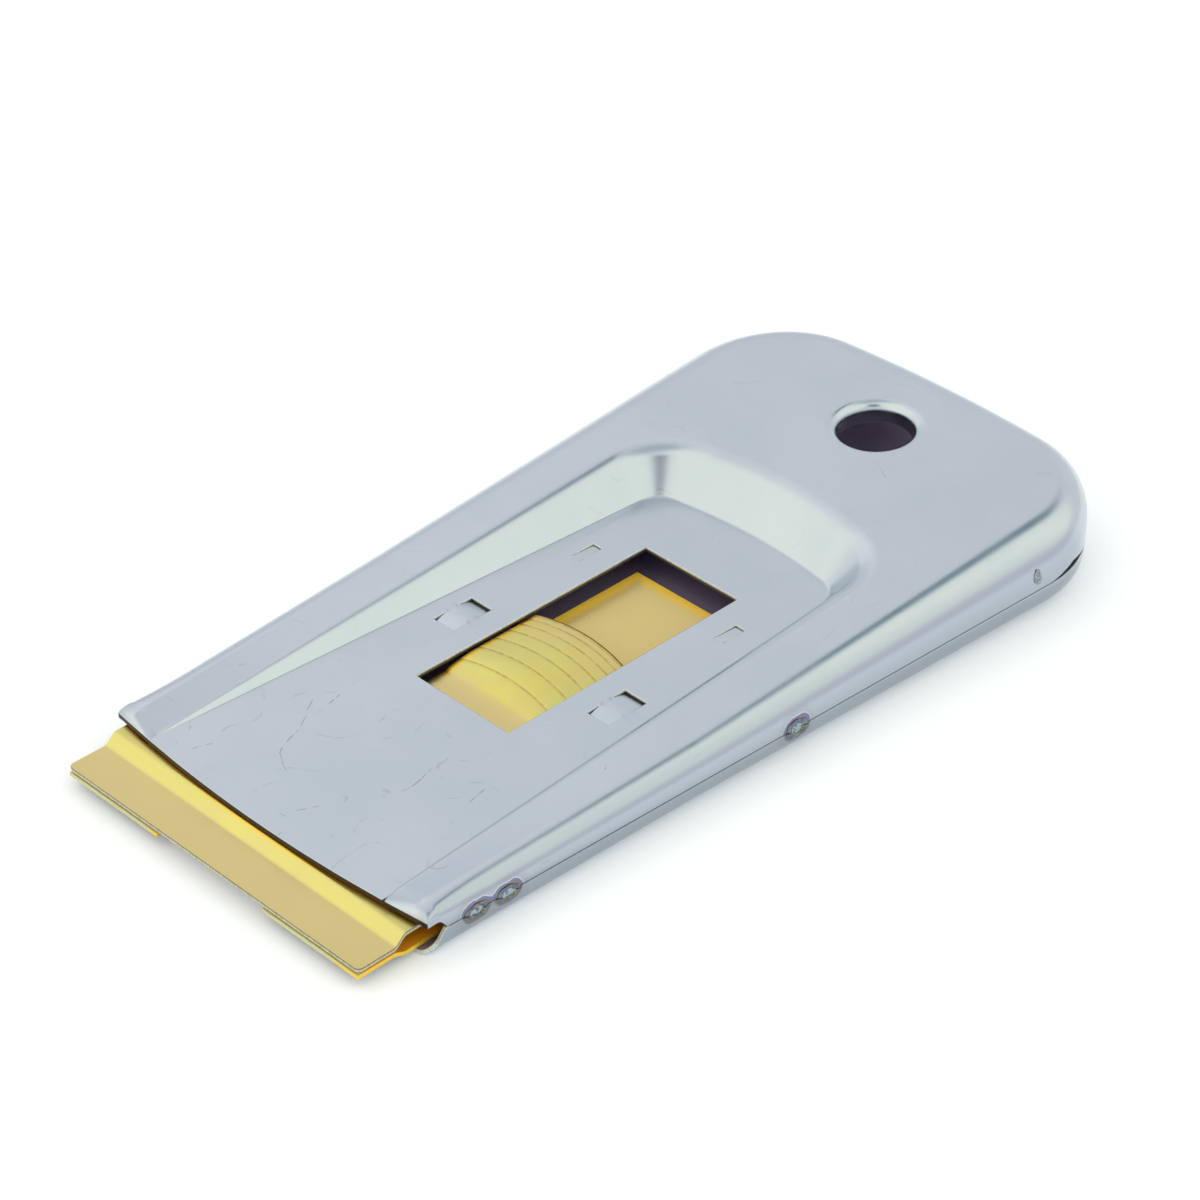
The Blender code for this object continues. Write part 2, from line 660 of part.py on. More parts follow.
def lower_jaw():
    """Yellow lower sheet: two jaw tabs, step down, full-width plate and the long tail."""
    sheet = Sheet()
    stations = [JAW_FRONT, TAB_NOTCH_Y]
    stations += spaced(STEP_FRONT, STEP_REAR, JAW_STEP_STEPS)
    stations += [SHOULDER_Y, NECK_REAR]
    stations += spaced(TAIL_RISE_FRONT, TAIL_RISE_REAR, TAIL_STEPS)
    stations += [TAIL_REAR]
    tail_rows = []
    mid_rows = []
    wide_rows = []
    for y in stations:
        z = TAB_Z + (LOWER_PLATE_Z - TAB_Z) * eased(y, STEP_FRONT, STEP_REAR)
        z += (TAIL_Z - LOWER_PLATE_Z) * eased(y, TAIL_RISE_FRONT, TAIL_RISE_REAR)
        inner = [flat_point(sheet, x, y, z) for x in (0.0, TAIL_HALF)] if y > JAW_FRONT else []
        tab = [flat_point(sheet, TAB_INNER, y, z)] if y <= NECK_REAR else []
        outer = [flat_point(sheet, TAB_HALF, y, z)] if y <= SHOULDER_Y else []
        if inner:
            tail_rows.append(inner)
        if inner and tab:
            mid_rows.append([inner[1], tab[0]])
        if outer:
            wide_rows.append(tab + outer)
    sheet.strip(tail_rows)
    sheet.strip(mid_rows)
    sheet.strip(wide_rows)
    return close_sheet("lower_jaw", sheet, "yellow_zinc")


def bump_height(x, y):
    """Dome of the thumb bump above the tongue, which ends at its sheared rear edge."""
    share = min(1.0, max(0.0, (y - BUMP_FRONT) / BUMP_RISE))
    across = 1 - (1 - BUMP_EDGE_SHARE) * (x / TONGUE_HALF) ** 2
    return BUMP_HEIGHT * math.sin(math.pi / 2 * share) * across


def ridge_y(k):
    """Place of a ridge of the bump; the ridges close up towards the rear."""
    return BUMP_REAR - (BUMP_REAR - BUMP_FRONT) * (1 - k / RIDGES) ** RIDGE_CLOSING


def thumb_tongue():
    """Sprung rear end of the upper sheet: flat, ridged bump and the two ears under the floor."""
    sheet = Sheet()
    stations = [(TONGUE_FRONT, 0.0), (BUMP_FRONT - BUMP_LEAD, 0.0)]
    for k in range(RIDGES):
        step = (ridge_y(k + 1) - ridge_y(k)) * RIDGE_STEP_SHARE
        stations += [(ridge_y(k), 0.0), (ridge_y(k) + step, RIDGE_HEIGHT)]
    stations += [(BUMP_REAR, 0.0)]
    rows = []
    for y, ridge in stations:
        row = []
        for x in TONGUE_COLUMNS:
            bow = BUMP_BOW * x * x * min(1.0, max(0.0, (y - BUMP_FRONT) / BUMP_BOW_LEAD))
            z = UPPER_PLATE_Z + bump_height(x, y)
            row.append(sheet.point((x, y - bow, z + ridge), (x, y - bow, z - CARRIER_SHEET)))
        rows.append(row)
    sheet.strip(rows)
    ears = []
    for row in rows:
        y = sheet.outer[row[-1]][1]
        if EAR_FRONT < y < EAR_REAR:
            ears.append([row[-1]] + [flat_point(sheet, x, y, UPPER_PLATE_Z) for x in (EAR_BEND_X, EAR_HALF)])
    sheet.strip(ears)
    return close_sheet("thumb_tongue", sheet, "yellow_zinc")


def blade():
    """Plain blade with its edge, ground from both faces, turned inward for storage."""
    middle = (BLADE_BOTTOM + BLADE_TOP) / 2
    profile = ((BLADE_FRONT, BLADE_BOTTOM), (BLADE_REAR - BLADE_BEVEL, BLADE_BOTTOM), (BLADE_REAR, middle),
               (BLADE_REAR - BLADE_BEVEL, BLADE_TOP), (BLADE_FRONT, BLADE_TOP))
    count = len(profile)
    verts = [(side * BLADE_HALF, y, z) for side in (-1, 1) for y, z in profile]
    faces = [tuple(range(count)), tuple(range(2 * count - 1, count - 1, -1))]
    faces += [(k, (k + 1) % count, count + (k + 1) % count, count + k) for k in range(count)]
    return make_object("blade", verts, faces, "blade_steel")


def carrier_stud(name, side):
    """Short stud that joins the two yellow sheets."""
    bottom = LOWER_PLATE_Z + STUD_GAP
    top = UPPER_PLATE_Z - CARRIER_SHEET - STUD_GAP
    turns = [2 * math.pi * k / STUD_SIDES for k in range(STUD_SIDES)]
    verts = []
    for z in (bottom, top):
        for turn in turns:
            x = side * STUD_X + STUD_RADIUS * math.cos(turn)
            verts.append((x, STUD_Y + STUD_RADIUS * math.sin(turn), z))
    faces = [tuple(range(STUD_SIDES)), tuple(range(STUD_SIDES, 2 * STUD_SIDES))]
    for k in range(STUD_SIDES):
        after = (k + 1) % STUD_SIDES
        faces.append((k, after, STUD_SIDES + after, STUD_SIDES + k))
    return make_object(name, verts, faces, "yellow_zinc")


def wall_place(y, z):
    """Point on the right side of the handle, with the directions away from it, along it and up it."""
    lean = math.atan(HALF_WIDTH_RISE)
    outer, _ = side_and_roll((half_width(y), y, math.cos(lean), -math.sin(lean)))
    low, high = outer[:2]
    for first, second in zip(outer, outer[1:]):
        if first[2] <= z <= second[2]:
            low, high = first, second
    share = min(1.0, max(0.0, (z - low[2]) / (high[2] - low[2])))
    up = (Vector(high) - Vector(low)).normalized()
    along = Vector((HALF_WIDTH_RISE, 1.0, 0.0)).normalized()
    place = Vector(mix(low, high, share))
    place.z = z
    return place, along.cross(up).normalized(), along, up


def weld_spot(name, side, y, z, half_length, half_height):
    """Low oval weld spot lying just outside the wall."""
    place, away, along, up = wall_place(y, z)
    verts = [place + away * WELD_GAP]
    rings = []
    for k in range(WELD_RINGS + 1):
        tilt = math.pi / 2 * k / (WELD_RINGS + 1)
        ring = []
        for i in range(WELD_SIDES):
            turn = 2 * math.pi * i / WELD_SIDES
            flat = along * half_length * math.cos(turn) + up * half_height * math.sin(turn)
            ring.append(len(verts))
            verts.append(place + flat * math.cos(tilt) + away * (WELD_GAP + WELD_PROUD * math.sin(tilt)))
        rings.append(ring)
    verts.append(place + away * (WELD_GAP + WELD_PROUD))
    faces = []
    for i in range(WELD_SIDES):
        after = (i + 1) % WELD_SIDES
        faces.append((0, rings[0][after], rings[0][i]))
        faces.append((rings[-1][i], rings[-1][after], len(verts) - 1))
        for first, second in zip(rings, rings[1:]):
            faces.append((first[i], first[after], second[after], second[i]))
    return make_object(name, [(side * v.x, v.y, v.z) for v in verts], faces, "weld_metal")


def set_origin(piece, place):
    """Move the object's origin to a point, leaving its shape where it is."""
    shift = Vector(place) * MM
    piece.data.transform(Matrix.Translation(-shift))
    piece.location = shift


def main():
    for old in list(bpy.data.objects):
        bpy.data.objects.remove(old, do_unlink=True)
    top_shell()
    bottom_shell()
    upper_jaw()
    lower_jaw()
    set_origin(thumb_tongue(), (0.0, (NECK_REAR + TONGUE_FRONT) / 2, UPPER_PLATE_Z - CARRIER_SHEET / 2))
    blade()
    for side, word in ((-1, "left"), (1, "right")):
        carrier_stud("carrier_stud_" + word, side)
        for name, (y, z, half_length, half_height) in WELDS.items():
            weld_spot(name.format(word), side, y, z, half_length, half_height)


main()
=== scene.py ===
import math
from functools import cached_property

import bpy
from mathutils import Matrix, Vector


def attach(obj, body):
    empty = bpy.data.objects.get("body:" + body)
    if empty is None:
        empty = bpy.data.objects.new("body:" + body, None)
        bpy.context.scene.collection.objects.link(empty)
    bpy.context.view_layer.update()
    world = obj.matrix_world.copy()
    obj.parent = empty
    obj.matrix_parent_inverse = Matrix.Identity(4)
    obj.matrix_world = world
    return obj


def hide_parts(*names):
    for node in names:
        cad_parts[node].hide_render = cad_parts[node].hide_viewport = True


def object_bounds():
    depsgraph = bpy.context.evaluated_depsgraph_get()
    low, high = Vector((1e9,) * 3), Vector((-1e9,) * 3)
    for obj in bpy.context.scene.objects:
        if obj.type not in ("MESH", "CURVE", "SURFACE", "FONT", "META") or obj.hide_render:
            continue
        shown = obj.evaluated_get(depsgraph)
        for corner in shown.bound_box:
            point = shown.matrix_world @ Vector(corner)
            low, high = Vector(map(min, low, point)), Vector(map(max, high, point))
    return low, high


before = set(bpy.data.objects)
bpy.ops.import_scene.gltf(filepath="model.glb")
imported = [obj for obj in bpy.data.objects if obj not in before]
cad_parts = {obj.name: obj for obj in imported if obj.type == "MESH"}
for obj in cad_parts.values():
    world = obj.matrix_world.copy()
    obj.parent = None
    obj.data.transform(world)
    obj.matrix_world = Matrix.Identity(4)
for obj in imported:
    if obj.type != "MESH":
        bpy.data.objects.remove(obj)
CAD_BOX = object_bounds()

# Window scraper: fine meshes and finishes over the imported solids.
# Sizes are millimetres and become metres when a mesh is made.
# X runs across the handle, Y from the jaws to the hang hole, Z up from the table.
# Sheet pieces are drawn as a right half with an outer and an inner skin.

MM = 0.001

# Handle outline
HALF_WIDTH = 24.578
HALF_WIDTH_RISE = 0.051
REAR_Y = 52.2
REAR_RADIUS = 240.0
CORNER_RADIUS = 13.5
LIP_Y = -46.4
LIP_SWEEP = 1.3
LIP_HALF = 21.0

# Top shell
TOP_SHEET = 0.55
TOP_HEIGHT = 7.113
TOP_RISE = 0.0635
CROWN = 0.093
SEAM_Z = 3.12
SEAM_RISE = 0.0105
ROLL_SHARE = 0.85
REAR_ROLL_SHARE = 0.45
ROLL_LEAST = 0.12
MOUTH_CORNER_FRONT = -43.4
MOUTH_CORNER_END = -42.7
MOUTH_CORNER_Z = 3.55
FRONT_LIFT = 1.45
FRONT_LIFT_X = 16.9
FRONT_LIFT_END = -10.0
FRONT_LIFT_MOST = 0.6
NOSE_LENGTH = 1.3
NOSE_POWER = 2.2
NOSE_ROWS = (0.0, 0.16, 0.32, 0.5, 0.75, 1.0, NOSE_LENGTH)
NOSE_TIGHTER = 0.6
NOSE_TIGHT_END = -36.0
CORNER_GAP_LIFT = 0.7
CORNER_GAP_Y = 41.6
CORNER_GAP_HALF = 3.6
ROLL_CUT_STEP = 0.12

# Sunken floor of the top shell
FLOOR_Z = 4.1
FOOT_X = 14.109
FOOT_TAPER = 0.056
FOOT_CORNER = 3.6
FOOT_BACK_Y = 21.5
FOOT_FILLET = 0.45
RIM_SHARE = 1.142
RIM_LEAST = 0.02
RIM_CORNER = 9.0
RIM_BACK_Y = 26.95
DEPTH_LEAST = 0.03
RECESS_TURN_Y = 17.1
WALL_ANGLE = math.radians(50.0)
WINDOW_HALF = 6.55
WINDOW_FRONT = -20.15
WINDOW_REAR = 11.95

# Lances in the sunken floor
END_SLIT = 0.05
SIDE_SLIT = 0.04
BRIDGE_IN = 9.53
BRIDGE_OUT = 12.5
BRIDGE_FRONT = -12.4
BRIDGE_REAR = -7.1
BRIDGE_MIDDLE = (BRIDGE_FRONT + BRIDGE_REAR) / 2
BRIDGE_HALF = (BRIDGE_REAR - BRIDGE_FRONT) / 2
BRIDGE_DROP = 0.45
BRIDGE_HOLD = 1.0
RAMP_OUT = 10.8
RAMP_FRONT = 5.4
RAMP_REAR = 8.5
RAMP_DROP = 0.2

# Hang hole
HOLE_Y = 40.0
HOLE_RADIUS = 5.25
FLANGE_ROLL = 1.2
FLANGE_DEPTH = 2.4
TRAY_HOLE_RADIUS = 4.6
TRAY_FLANGE_ROLL = 0.8
TRAY_FLANGE_DEPTH = 1.7

# Bottom shell
TRAY_SHEET = 0.5
SEAM_GAP = 0.06
TRAY_WALL_FRONT = -42.8
TRAY_ROLL_FRONT = 1.5
TRAY_ROLL_RISE = 0.035
TRAY_ROLL_MOST = 2.6

# Blade carrier
CARRIER_SHEET = 0.45
JAW_FRONT = -52.2
JAW_HALF = 20.9
JAW_CORNER = 0.5
JAW_Z = 2.3
UPPER_PLATE_Z = 2.95
MOUTH_PLATE_Z = 3.38
MOUTH_PLATE_FRONT = -41.0
MOUTH_PLATE_REAR = -32.0
STEP_FRONT = -47.9
STEP_REAR = -46.3
SHOULDER_Y = -27.7
NECK_HALF = 8.9
NECK_REAR = -24.77
TAB_HALF = 20.8
TAB_INNER = 7.6
TAB_NOTCH_Y = -48.5
TAB_Z = 1.55
LOWER_PLATE_Z = 1.05
TAIL_HALF = 6.3
TAIL_REAR = 10.5
TAIL_RISE_FRONT = -22.2
TAIL_RISE_REAR = -4.2
TAIL_Z = 1.8

# Thumb tongue
TONGUE_FRONT = -24.73
TONGUE_HALF = 6.3
BUMP_FRONT = -16.6
BUMP_REAR = -3.3
BUMP_RISE = 5.0
BUMP_HEIGHT = 0.95
BUMP_EDGE_SHARE = 0.55
BUMP_BOW = 0.018
BUMP_BOW_LEAD = 1.3
RIDGES = 8
RIDGE_CLOSING = 1.8
RIDGE_HEIGHT = 0.12
GROOVE_HALF = 0.11
GROOVE_DEPTH = 0.025
# Width of the painted shadow strip at the bump's rear edge.
REAR_SHADE_LINE = 0.18
EAR_FRONT = -6.5
EAR_REAR = -4.8
EAR_BEND_X = 7.2
EAR_HALF = 11.4

# Weld spots along the side seam: distance along the handle, height, half length, half height
WELDS = {
    "weld_front_{}_a": (-39.3, 2.65, 1.55, 0.92),
    "weld_front_{}_b": (-35.5, 2.7, 1.55, 0.92),
    "weld_mid_{}": (1.3, 3.1, 1.6, 1.15),
    "weld_rear_{}": (35.5, 5.2, 0.6, 0.9),
}
WELD_PROUD = 0.2
WELD_GAP = 0.03
WELD_SIDES = 48
WELD_RINGS = 12
WELD_JOINING = 1.2
WELD_INSET = 0.06
WELD_RIM = 0.12
WELD_RING_AT = 0.25
WELD_RING_SPREAD = 0.12
WELD_RING_HEIGHT = 0.75
NUGGET_SHARE = 0.45
NUGGET_FOOT = 0.4
NUGGET_TOP = 0.95

# Waves in the rim of a weld spot: how many, their shift with the place along the handle, and depth
WELD_WAVES = ((3, 1, 0.05), (7, 2, 0.03))

# Fineness of the visible meshes
ROW_STEP = 1.6
COLUMN_STEP = 0.8
SIDE_STEPS = 14
CORNER_STEPS = 26
CORNER_SOLVES = 20
REAR_STEPS = 16
RIM_CORNER_STEPS = 22
ROLL_STEPS = 18
BEND_STEPS = 10
FILLET_STEPS = 4
BAND_FRONT_STEPS = 8
BAND_HOLE_STEPS = 40
BAND_REAR_STEPS = 6
FLANGE_STEPS = 8
TRAY_FRONT_STEPS = 16
JAW_STEP_STEPS = 16
TAIL_STEPS = 24
LANCE_STEP = 0.45
LAND_STEPS = 5
TONGUE_STEPS = 16
SHELL_EASE = 0.07
TRAY_EASE = 0.09
CARRIER_EASE = 0.03
EASE_SEGMENTS = 2
CUT_SHARE = 0.4
SHARP_ANGLE = math.radians(32.0)

# Material slots of a sheet piece
OUTER, INNER, CUT_UPPER, CUT_LOWER, GROOVE, REAR_SHADE_EDGE = range(6)

# View: the camera looks at a point of the table from the photograph's side
TARGET = (-7.21, 5.97, 0.0)
VIEW_AZIMUTH = math.radians(45.09)
VIEW_ELEVATION = math.radians(35.05)
VIEW_ROLL = math.radians(0.34)
VIEW_DISTANCE = 372.0
LENS = 108.0
SENSOR = 36.0
CLIP = (0.01, 20.0)

# Colours
NICKEL = (0.545, 0.597, 0.641)
NICKEL_COOL = (0.520, 0.577, 0.627)
# The side and tray tones are painted shade: the sides are darkened where they reflect the shadowed table.
NICKEL_SIDE_SHADE = (0.440, 0.487, 0.555)
NICKEL_TRAY_SHADE = (0.370, 0.415, 0.468)
SCRATCH_GREY = (0.24, 0.26, 0.29)
# Inner side: the violet tone is painted glare, and the pale tone towards the rear is painted light.
INSIDE_GLARE = (0.33, 0.26, 0.40)
INSIDE_DARK = (0.22, 0.175, 0.28)
INSIDE_REAR_LIGHT = (0.90, 0.82, 0.98)
STEEL_BURNISHED = (0.70, 0.75, 0.68)
STEEL_TORN = (0.10, 0.08, 0.10)
SEAM_DARK = (0.10, 0.10, 0.11)
# Cut edge of the top shell at the lip: painted shade in near-black brown.
LIP_SHADE_BROWN = (0.035, 0.014, 0.016)
ZINC_TAN = (0.680, 0.550, 0.238)
ZINC_TAIL = (0.69, 0.53, 0.20)
# Lemon is a painted highlight on the upper sheet's step and bump.
ZINC_LEMON_HIGHLIGHT = (0.70, 0.655, 0.185)
# Amber: real stain patches on the bump, and painted glow under the lip and along the tail's edges.
ZINC_AMBER_STAIN_AND_GLOW = (0.90, 0.56, 0.05)
ZINC_GROOVE = (0.66, 0.52, 0.15)
# Dark brown is painted shadow along the tongue's sheared rear edge and on its cut edges.
ZINC_SHADE_BROWN = (0.22, 0.12, 0.03)
ZINC_BURNISHED = (0.64, 0.60, 0.36)
ZINC_TORN = (0.22, 0.22, 0.19)
ZINC_YELLOW = (0.95, 0.67, 0.05)
# Orange is painted glow, seen in the pocket between the two yellow sheets.
ZINC_ORANGE_GLOW = (0.96, 0.43, 0.02)
ZINC_UNDER = (0.32, 0.27, 0.13)
ZINC_PALE = (0.66, 0.66, 0.36)
BLADE_GREY = (0.58, 0.60, 0.63)
BLADE_DARK = (0.48, 0.50, 0.53)
NUGGET_GREY = (0.37, 0.45, 0.47)
NUGGET_DARK = (0.15, 0.18, 0.18)
RING_OLIVE = (0.14, 0.14, 0.105)
RING_GREY = (0.24, 0.27, 0.255)
SPOT_GREY = (0.36, 0.41, 0.45)
SPOT_DARK = (0.27, 0.31, 0.34)
TINT_BROWN = (0.20, 0.155, 0.11)
TINT_VIOLET = (0.13, 0.17, 0.47)
TINT_PALE = (0.62, 0.64, 0.68)
RIB_GREY = (0.72, 0.72, 0.72)
SEAM_TRACE = (0.05, 0.05, 0.05)
CLOUD_SHADE = 0.75

# Scratches on the top of the handle: start and end, in the handle's frame
SCRATCHES = (
    ((2.9, 35.1, 9.3), (7.1, 33.4, 9.2)),
    ((-10.5, -30.0, 4.1), (-6.0, -38.0, 4.1)),
    ((-6.0, -38.0, 4.1), (-3.5, -39.5, 4.1)),
    ((-9.5, -27.5, 4.1), (-8.6, -31.0, 4.1)),
    ((-12.0, -41.5, 4.1), (-12.6, -43.8, 4.1)),
    ((5.5, -27.0, 4.1), (6.2, -33.5, 4.1)),
    ((2.5, -40.5, 4.1), (1.5, -42.5, 4.1)),
    ((11.5, -27.5, 4.1), (12.0, -30.0, 4.1)),
    ((17.8, 30.5, 9.0), (15.9, 32.6, 9.1)),
    ((18.6, -18.6, 5.9), (20.6, -20.4, 5.6)),
    ((24.0, 9.5, 5.6), (24.4, 10.4, 4.6)),
    ((24.5, -17.2, 4.2), (24.1, -17.6, 2.9)),
)
SCRATCH_WIDTH = 0.09
SCRATCH_BEND = (1.8, 1.8, 0.0)
SCUFF_LINES = 9.0
SCUFF_WIDTH = 0.05
SCUFF_FADE = 8.0
HAIRLINE_ANGLES = (25.0, -55.0)
HAIRLINE_SCALE = (0.25, 3.2, 0.25)

# Where the finishes and the painted light and shade change over; four lengths are a band's start, full, fade
# and end
# Painted shade on the sides: how far in from the side and how high up it reaches, and where the tray's deeper
# painted shade fades in below the seam.
SIDE_SHADE_DEPTH = (2.0, 0.6)
SIDE_SHADE_HEIGHT = (0.3, 1.2)
TRAY_SHADE_FADE = 0.4
EDGE_TURN_Y = -42.7
EDGE_TURN = 0.4
# Where the painted light on the inner side starts and where it is full.
INSIDE_LIGHT_Y = (20.0, 32.0)
# The next two bands place the painted lemon highlight on the step and on the bump.
STEP_HIGHLIGHT = (STEP_FRONT, STEP_FRONT + 0.4, STEP_REAR + 2.0, STEP_REAR + 4.0)
BUMP_HIGHLIGHT = (BUMP_FRONT - 0.5, BUMP_FRONT + 1.0, BUMP_FRONT + 7.0, BUMP_REAR + 1.0)
BUMP_STAIN_X = (1.1 - TONGUE_HALF, 0.2 - TONGUE_HALF)
BUMP_STAIN_Y = (BUMP_FRONT - 2.0, BUMP_FRONT)
# Band behind the lip that gets the painted amber reflection.
UNDER_LIP_REFLECTION = (-0.45, -0.1, 2.0, 4.0)
# Where the painted amber glow along the tail's edges starts and where it is full.
TAIL_GLOW_X = (TAIL_HALF - 2.0, TAIL_HALF - 0.5)
TAIL_GLOW_Y = (TAIL_REAR - 1.9, TAIL_REAR - 0.4)
# Where the painted orange glow in the pocket starts and where it is full.
POCKET_ORANGE_GLOW = (SHOULDER_Y, STEP_REAR + 4.0)
JAW_PALE = (JAW_FRONT + 0.9, JAW_FRONT + 0.5)
TAB_PALE = (JAW_FRONT + 0.35, JAW_FRONT + 0.15)
TAB_CORNER = (TAB_HALF - 5.0, TAB_HALF - 1.0)
TAB_NOTCH = (-TAB_INNER - 1.6, -TAB_INNER - 0.8, 0.0, 1.0)

# Heat colours by their distance from a weld spot, and the trace of the seam across it
TINT_ABOVE = (-0.3, 0.4)
HAZE_REACH = (1.3, 0.2)
PALE_LINE = (0.24, 0.30, 0.34, 0.42)
VIOLET_LINE = (0.06, 0.13, 0.20, 0.28)
BROWN_LINE = (0.14, 0.06)
RING_VIOLET = (-0.34, -0.28, -0.24, -0.18)
RING_BROWN = (-0.16, -0.10, -0.04, 0.04)
TRACE_HALF = (0.12, 0.06)

# Noise: its roughness, and the range that it mostly keeps to
NOISE_ROUGHNESS = 0.55
NOISE_SWING = (0.3, 0.7)

# Floor
FLOOR_SIZE = 6000.0
FLOOR_DROP = 0.02
FLOOR_WHITE = (0.985, 0.985, 1.0)
FLOOR_ROUGHNESS = 0.8
FLOOR_GLOW = 0.12
GLOW_BLUE = (0.90, 0.97, 1.10)

# Studio patches: direction, half angles in degrees where a patch is full and where it ends, and level
SKY = (0.91, 0.915, 0.935)
PATCHES = {
    "right_back_box": ((0.465, 0.578, 0.671), 20.0, 32.0, (1.20, 1.22, 1.09)),
    "right_box": ((0.74, 0.12, 0.66), 17.0, 30.0, (1.20, 1.24, 1.10)),
    "left_box": ((-0.85, 0.10, 0.50), 5.0, 38.0, (1.12, 1.12, 1.13)),
    "left_front_box": ((-0.35, -0.75, 0.55), 20.0, 60.0, (1.26, 1.28, 1.14)),
    "overhead_gap": ((0.0, 0.0, 1.0), 6.0, 24.0, (0.62, 0.68, 0.72)),
    "left_back_low": ((-0.78, 0.58, 0.20), 5.0, 30.0, (0.82, 0.84, 0.89)),
    "camera_side": ((0.54, -0.54, 0.645), 7.0, 16.0, (0.22, 0.26, 0.29)),
    "high_back_gap": ((-0.15, 0.578, 0.80), 4.0, 11.0, (0.14, 0.25, 0.30)),
}


class Sheet:
    """Right half of a sheet piece: matching outer and inner points, and faces over them."""

    def __init__(self, drop):
        self.drop = drop
        self.outer = []
        self.inner = []
        self.faces = []
        self.slots = []

    def point(self, outer, inner):
        self.outer.append(outer)
        self.inner.append(inner)
        return len(self.outer) - 1

    def flat(self, x, y, z):
        """Point where the inner skin lies straight below the outer one."""
        return self.point((x, y, z), (x, y, z - self.drop))

    def face(self, points, slot=OUTER):
        self.faces.append(tuple(points))
        self.slots.append(slot)

    def strip(self, rows, slot=OUTER):
        for first, second in zip(rows, rows[1:]):
            for k in range(len(first) - 1):
                self.face((first[k], first[k + 1], second[k + 1], second[k]), slot)


def mix(a, b, share):
    return tuple(p + (q - p) * share for p, q in zip(a, b))


def spaced(start, end, steps):
    return [start + (end - start) * k / steps for k in range(steps + 1)]


def refined(stations, step):
    """Stations with even ones added between, none further apart than the step."""
    result = [stations[0]]
    for start, end in zip(stations, stations[1:]):
        count = math.ceil((end - start) / step)
        result += spaced(start, end, count)[1:-1] + [end]
    return tuple(result)


def held_inside(point):
    """Point in metres, held inside the box of the solids."""
    return [min(max(value * MM, low), high) for value, low, high in zip(point, *CAD_BOX)]


def new_object(name, data):
    made = bpy.data.objects.new(name, data)
    bpy.context.scene.collection.objects.link(made)
    return made


def make_piece(name, verts, faces, materials, slots):
    """Mesh piece in metres with smooth faces, and its material slots."""
    mesh = bpy.data.meshes.new(name)
    mesh.from_pydata([held_inside(point) for point in verts], [], faces)
    for material in materials:
        mesh.materials.append(material)
    mesh.polygons.foreach_set("material_index", slots)
    mesh.validate()
    mesh.shade_smooth()
    mesh.set_sharp_from_angle(angle=SHARP_ANGLE)
    return new_object(name, mesh)


def close_sheet(name, sheet, materials, ease):
    """Mirror the half sheet and join its skins by cut edges of two bands."""
    twin = {}
    outer = list(sheet.outer)
    inner = list(sheet.inner)
    for i, point in enumerate(sheet.outer):
        twin[i] = i
        if point[0] != 0.0:
            twin[i] = len(outer)
            outer.append((-point[0], *point[1:]))
            inner.append((-sheet.inner[i][0], *sheet.inner[i][1:]))
    faces = list(sheet.faces)
    faces += [tuple(twin[i] for i in reversed(face)) for face in sheet.faces]
    edges = set()
    for face in faces:
        edges.update(zip(face, face[1:] + face[:1]))
    open_edges = sorted((a, b) for a, b in edges if (b, a) not in edges)
    shift = len(outer)
    skin = [tuple(i + shift for i in reversed(face)) for face in faces]
    verts = outer + inner
    middle = {}
    for i in sorted({i for edge in open_edges for i in edge}):
        middle[i] = len(verts)
        verts.append(mix(outer[i], inner[i], CUT_SHARE))
    upper = [(b, a, middle[a], middle[b]) for a, b in open_edges]
    lower = [(middle[b], middle[a], a + shift, b + shift) for a, b in open_edges]
    slots = sheet.slots * 2 + [INNER] * len(skin) + [CUT_UPPER] * len(upper) + [CUT_LOWER] * len(lower)
    piece = make_piece(name, verts, faces + skin + upper + lower, materials, slots)
    ease_edges(piece, open_edges, shift, ease)
    return piece


def ease_edges(piece, open_edges, shift, width):
    """Round the cut edges of a sheet on both skins."""
    cut = {frozenset((a + k, b + k)) for a, b in open_edges for k in (0, shift)}
    weights = piece.data.attributes.new("bevel_weight_edge", "FLOAT", "EDGE")
    values = [1.0 if frozenset(edge.vertices) in cut else 0.0 for edge in piece.data.edges]
    weights.data.foreach_set("value", values)
    ease = piece.modifiers.new("ease", "BEVEL")
    ease.limit_method = "WEIGHT"
    ease.width = width * MM
    ease.segments = EASE_SEGMENTS
    ease.use_clamp_overlap = False


def half_width(y):
    return HALF_WIDTH + HALF_WIDTH_RISE * y


def top_height(x, y):
    """Height of ridges and plateau: crowned across, with ridges that lift outward at the front."""
    height = TOP_HEIGHT + TOP_RISE * y
    crown = CROWN * (height - seam_z(y)) * (x / half_width(y)) ** 2
    outward = min(FRONT_LIFT_MOST, max(0.0, (x - FRONT_LIFT_X) / (half_width(y) - FRONT_LIFT_X)))
    forward = max(0.0, (FRONT_LIFT_END - y) / (FRONT_LIFT_END - LIP_Y))
    return height - crown + FRONT_LIFT * outward * forward


def seam_z(y):
    """Height where the two shells meet."""
    return SEAM_Z + SEAM_RISE * y


def lip_y(x):
    return LIP_Y + LIP_SWEEP * (x / LIP_HALF) ** 2


def foot_x(y):
    return FOOT_X - FOOT_TAPER * y


def rim_x(y):
    """Rim of the recess, further out where the recess is deeper."""
    return foot_x(y) + RIM_LEAST + RIM_SHARE * (TOP_HEIGHT + TOP_RISE * y - FLOOR_Z)


def nosed(point, behind, floor):
    """Point of a row behind the lip, where the ridges end in a blunt nose."""
    x, _, z = point
    keep = (1 - (1 - behind / NOSE_LENGTH) ** NOSE_POWER) ** (1 / NOSE_POWER)
    return x, lip_y(x) + behind, min(z, floor + max(0.0, z - floor) * keep)


def corner_centre():
    """Centre of the rear corner circle, which touches the side line and the bowed rear."""
    y = REAR_Y - CORNER_RADIUS
    for _ in range(CORNER_SOLVES):
        x = half_width(y) - CORNER_RADIUS * math.hypot(1.0, HALF_WIDTH_RISE)
        y = REAR_Y - REAR_RADIUS + math.sqrt((REAR_RADIUS - CORNER_RADIUS) ** 2 - x * x)
    return x, y


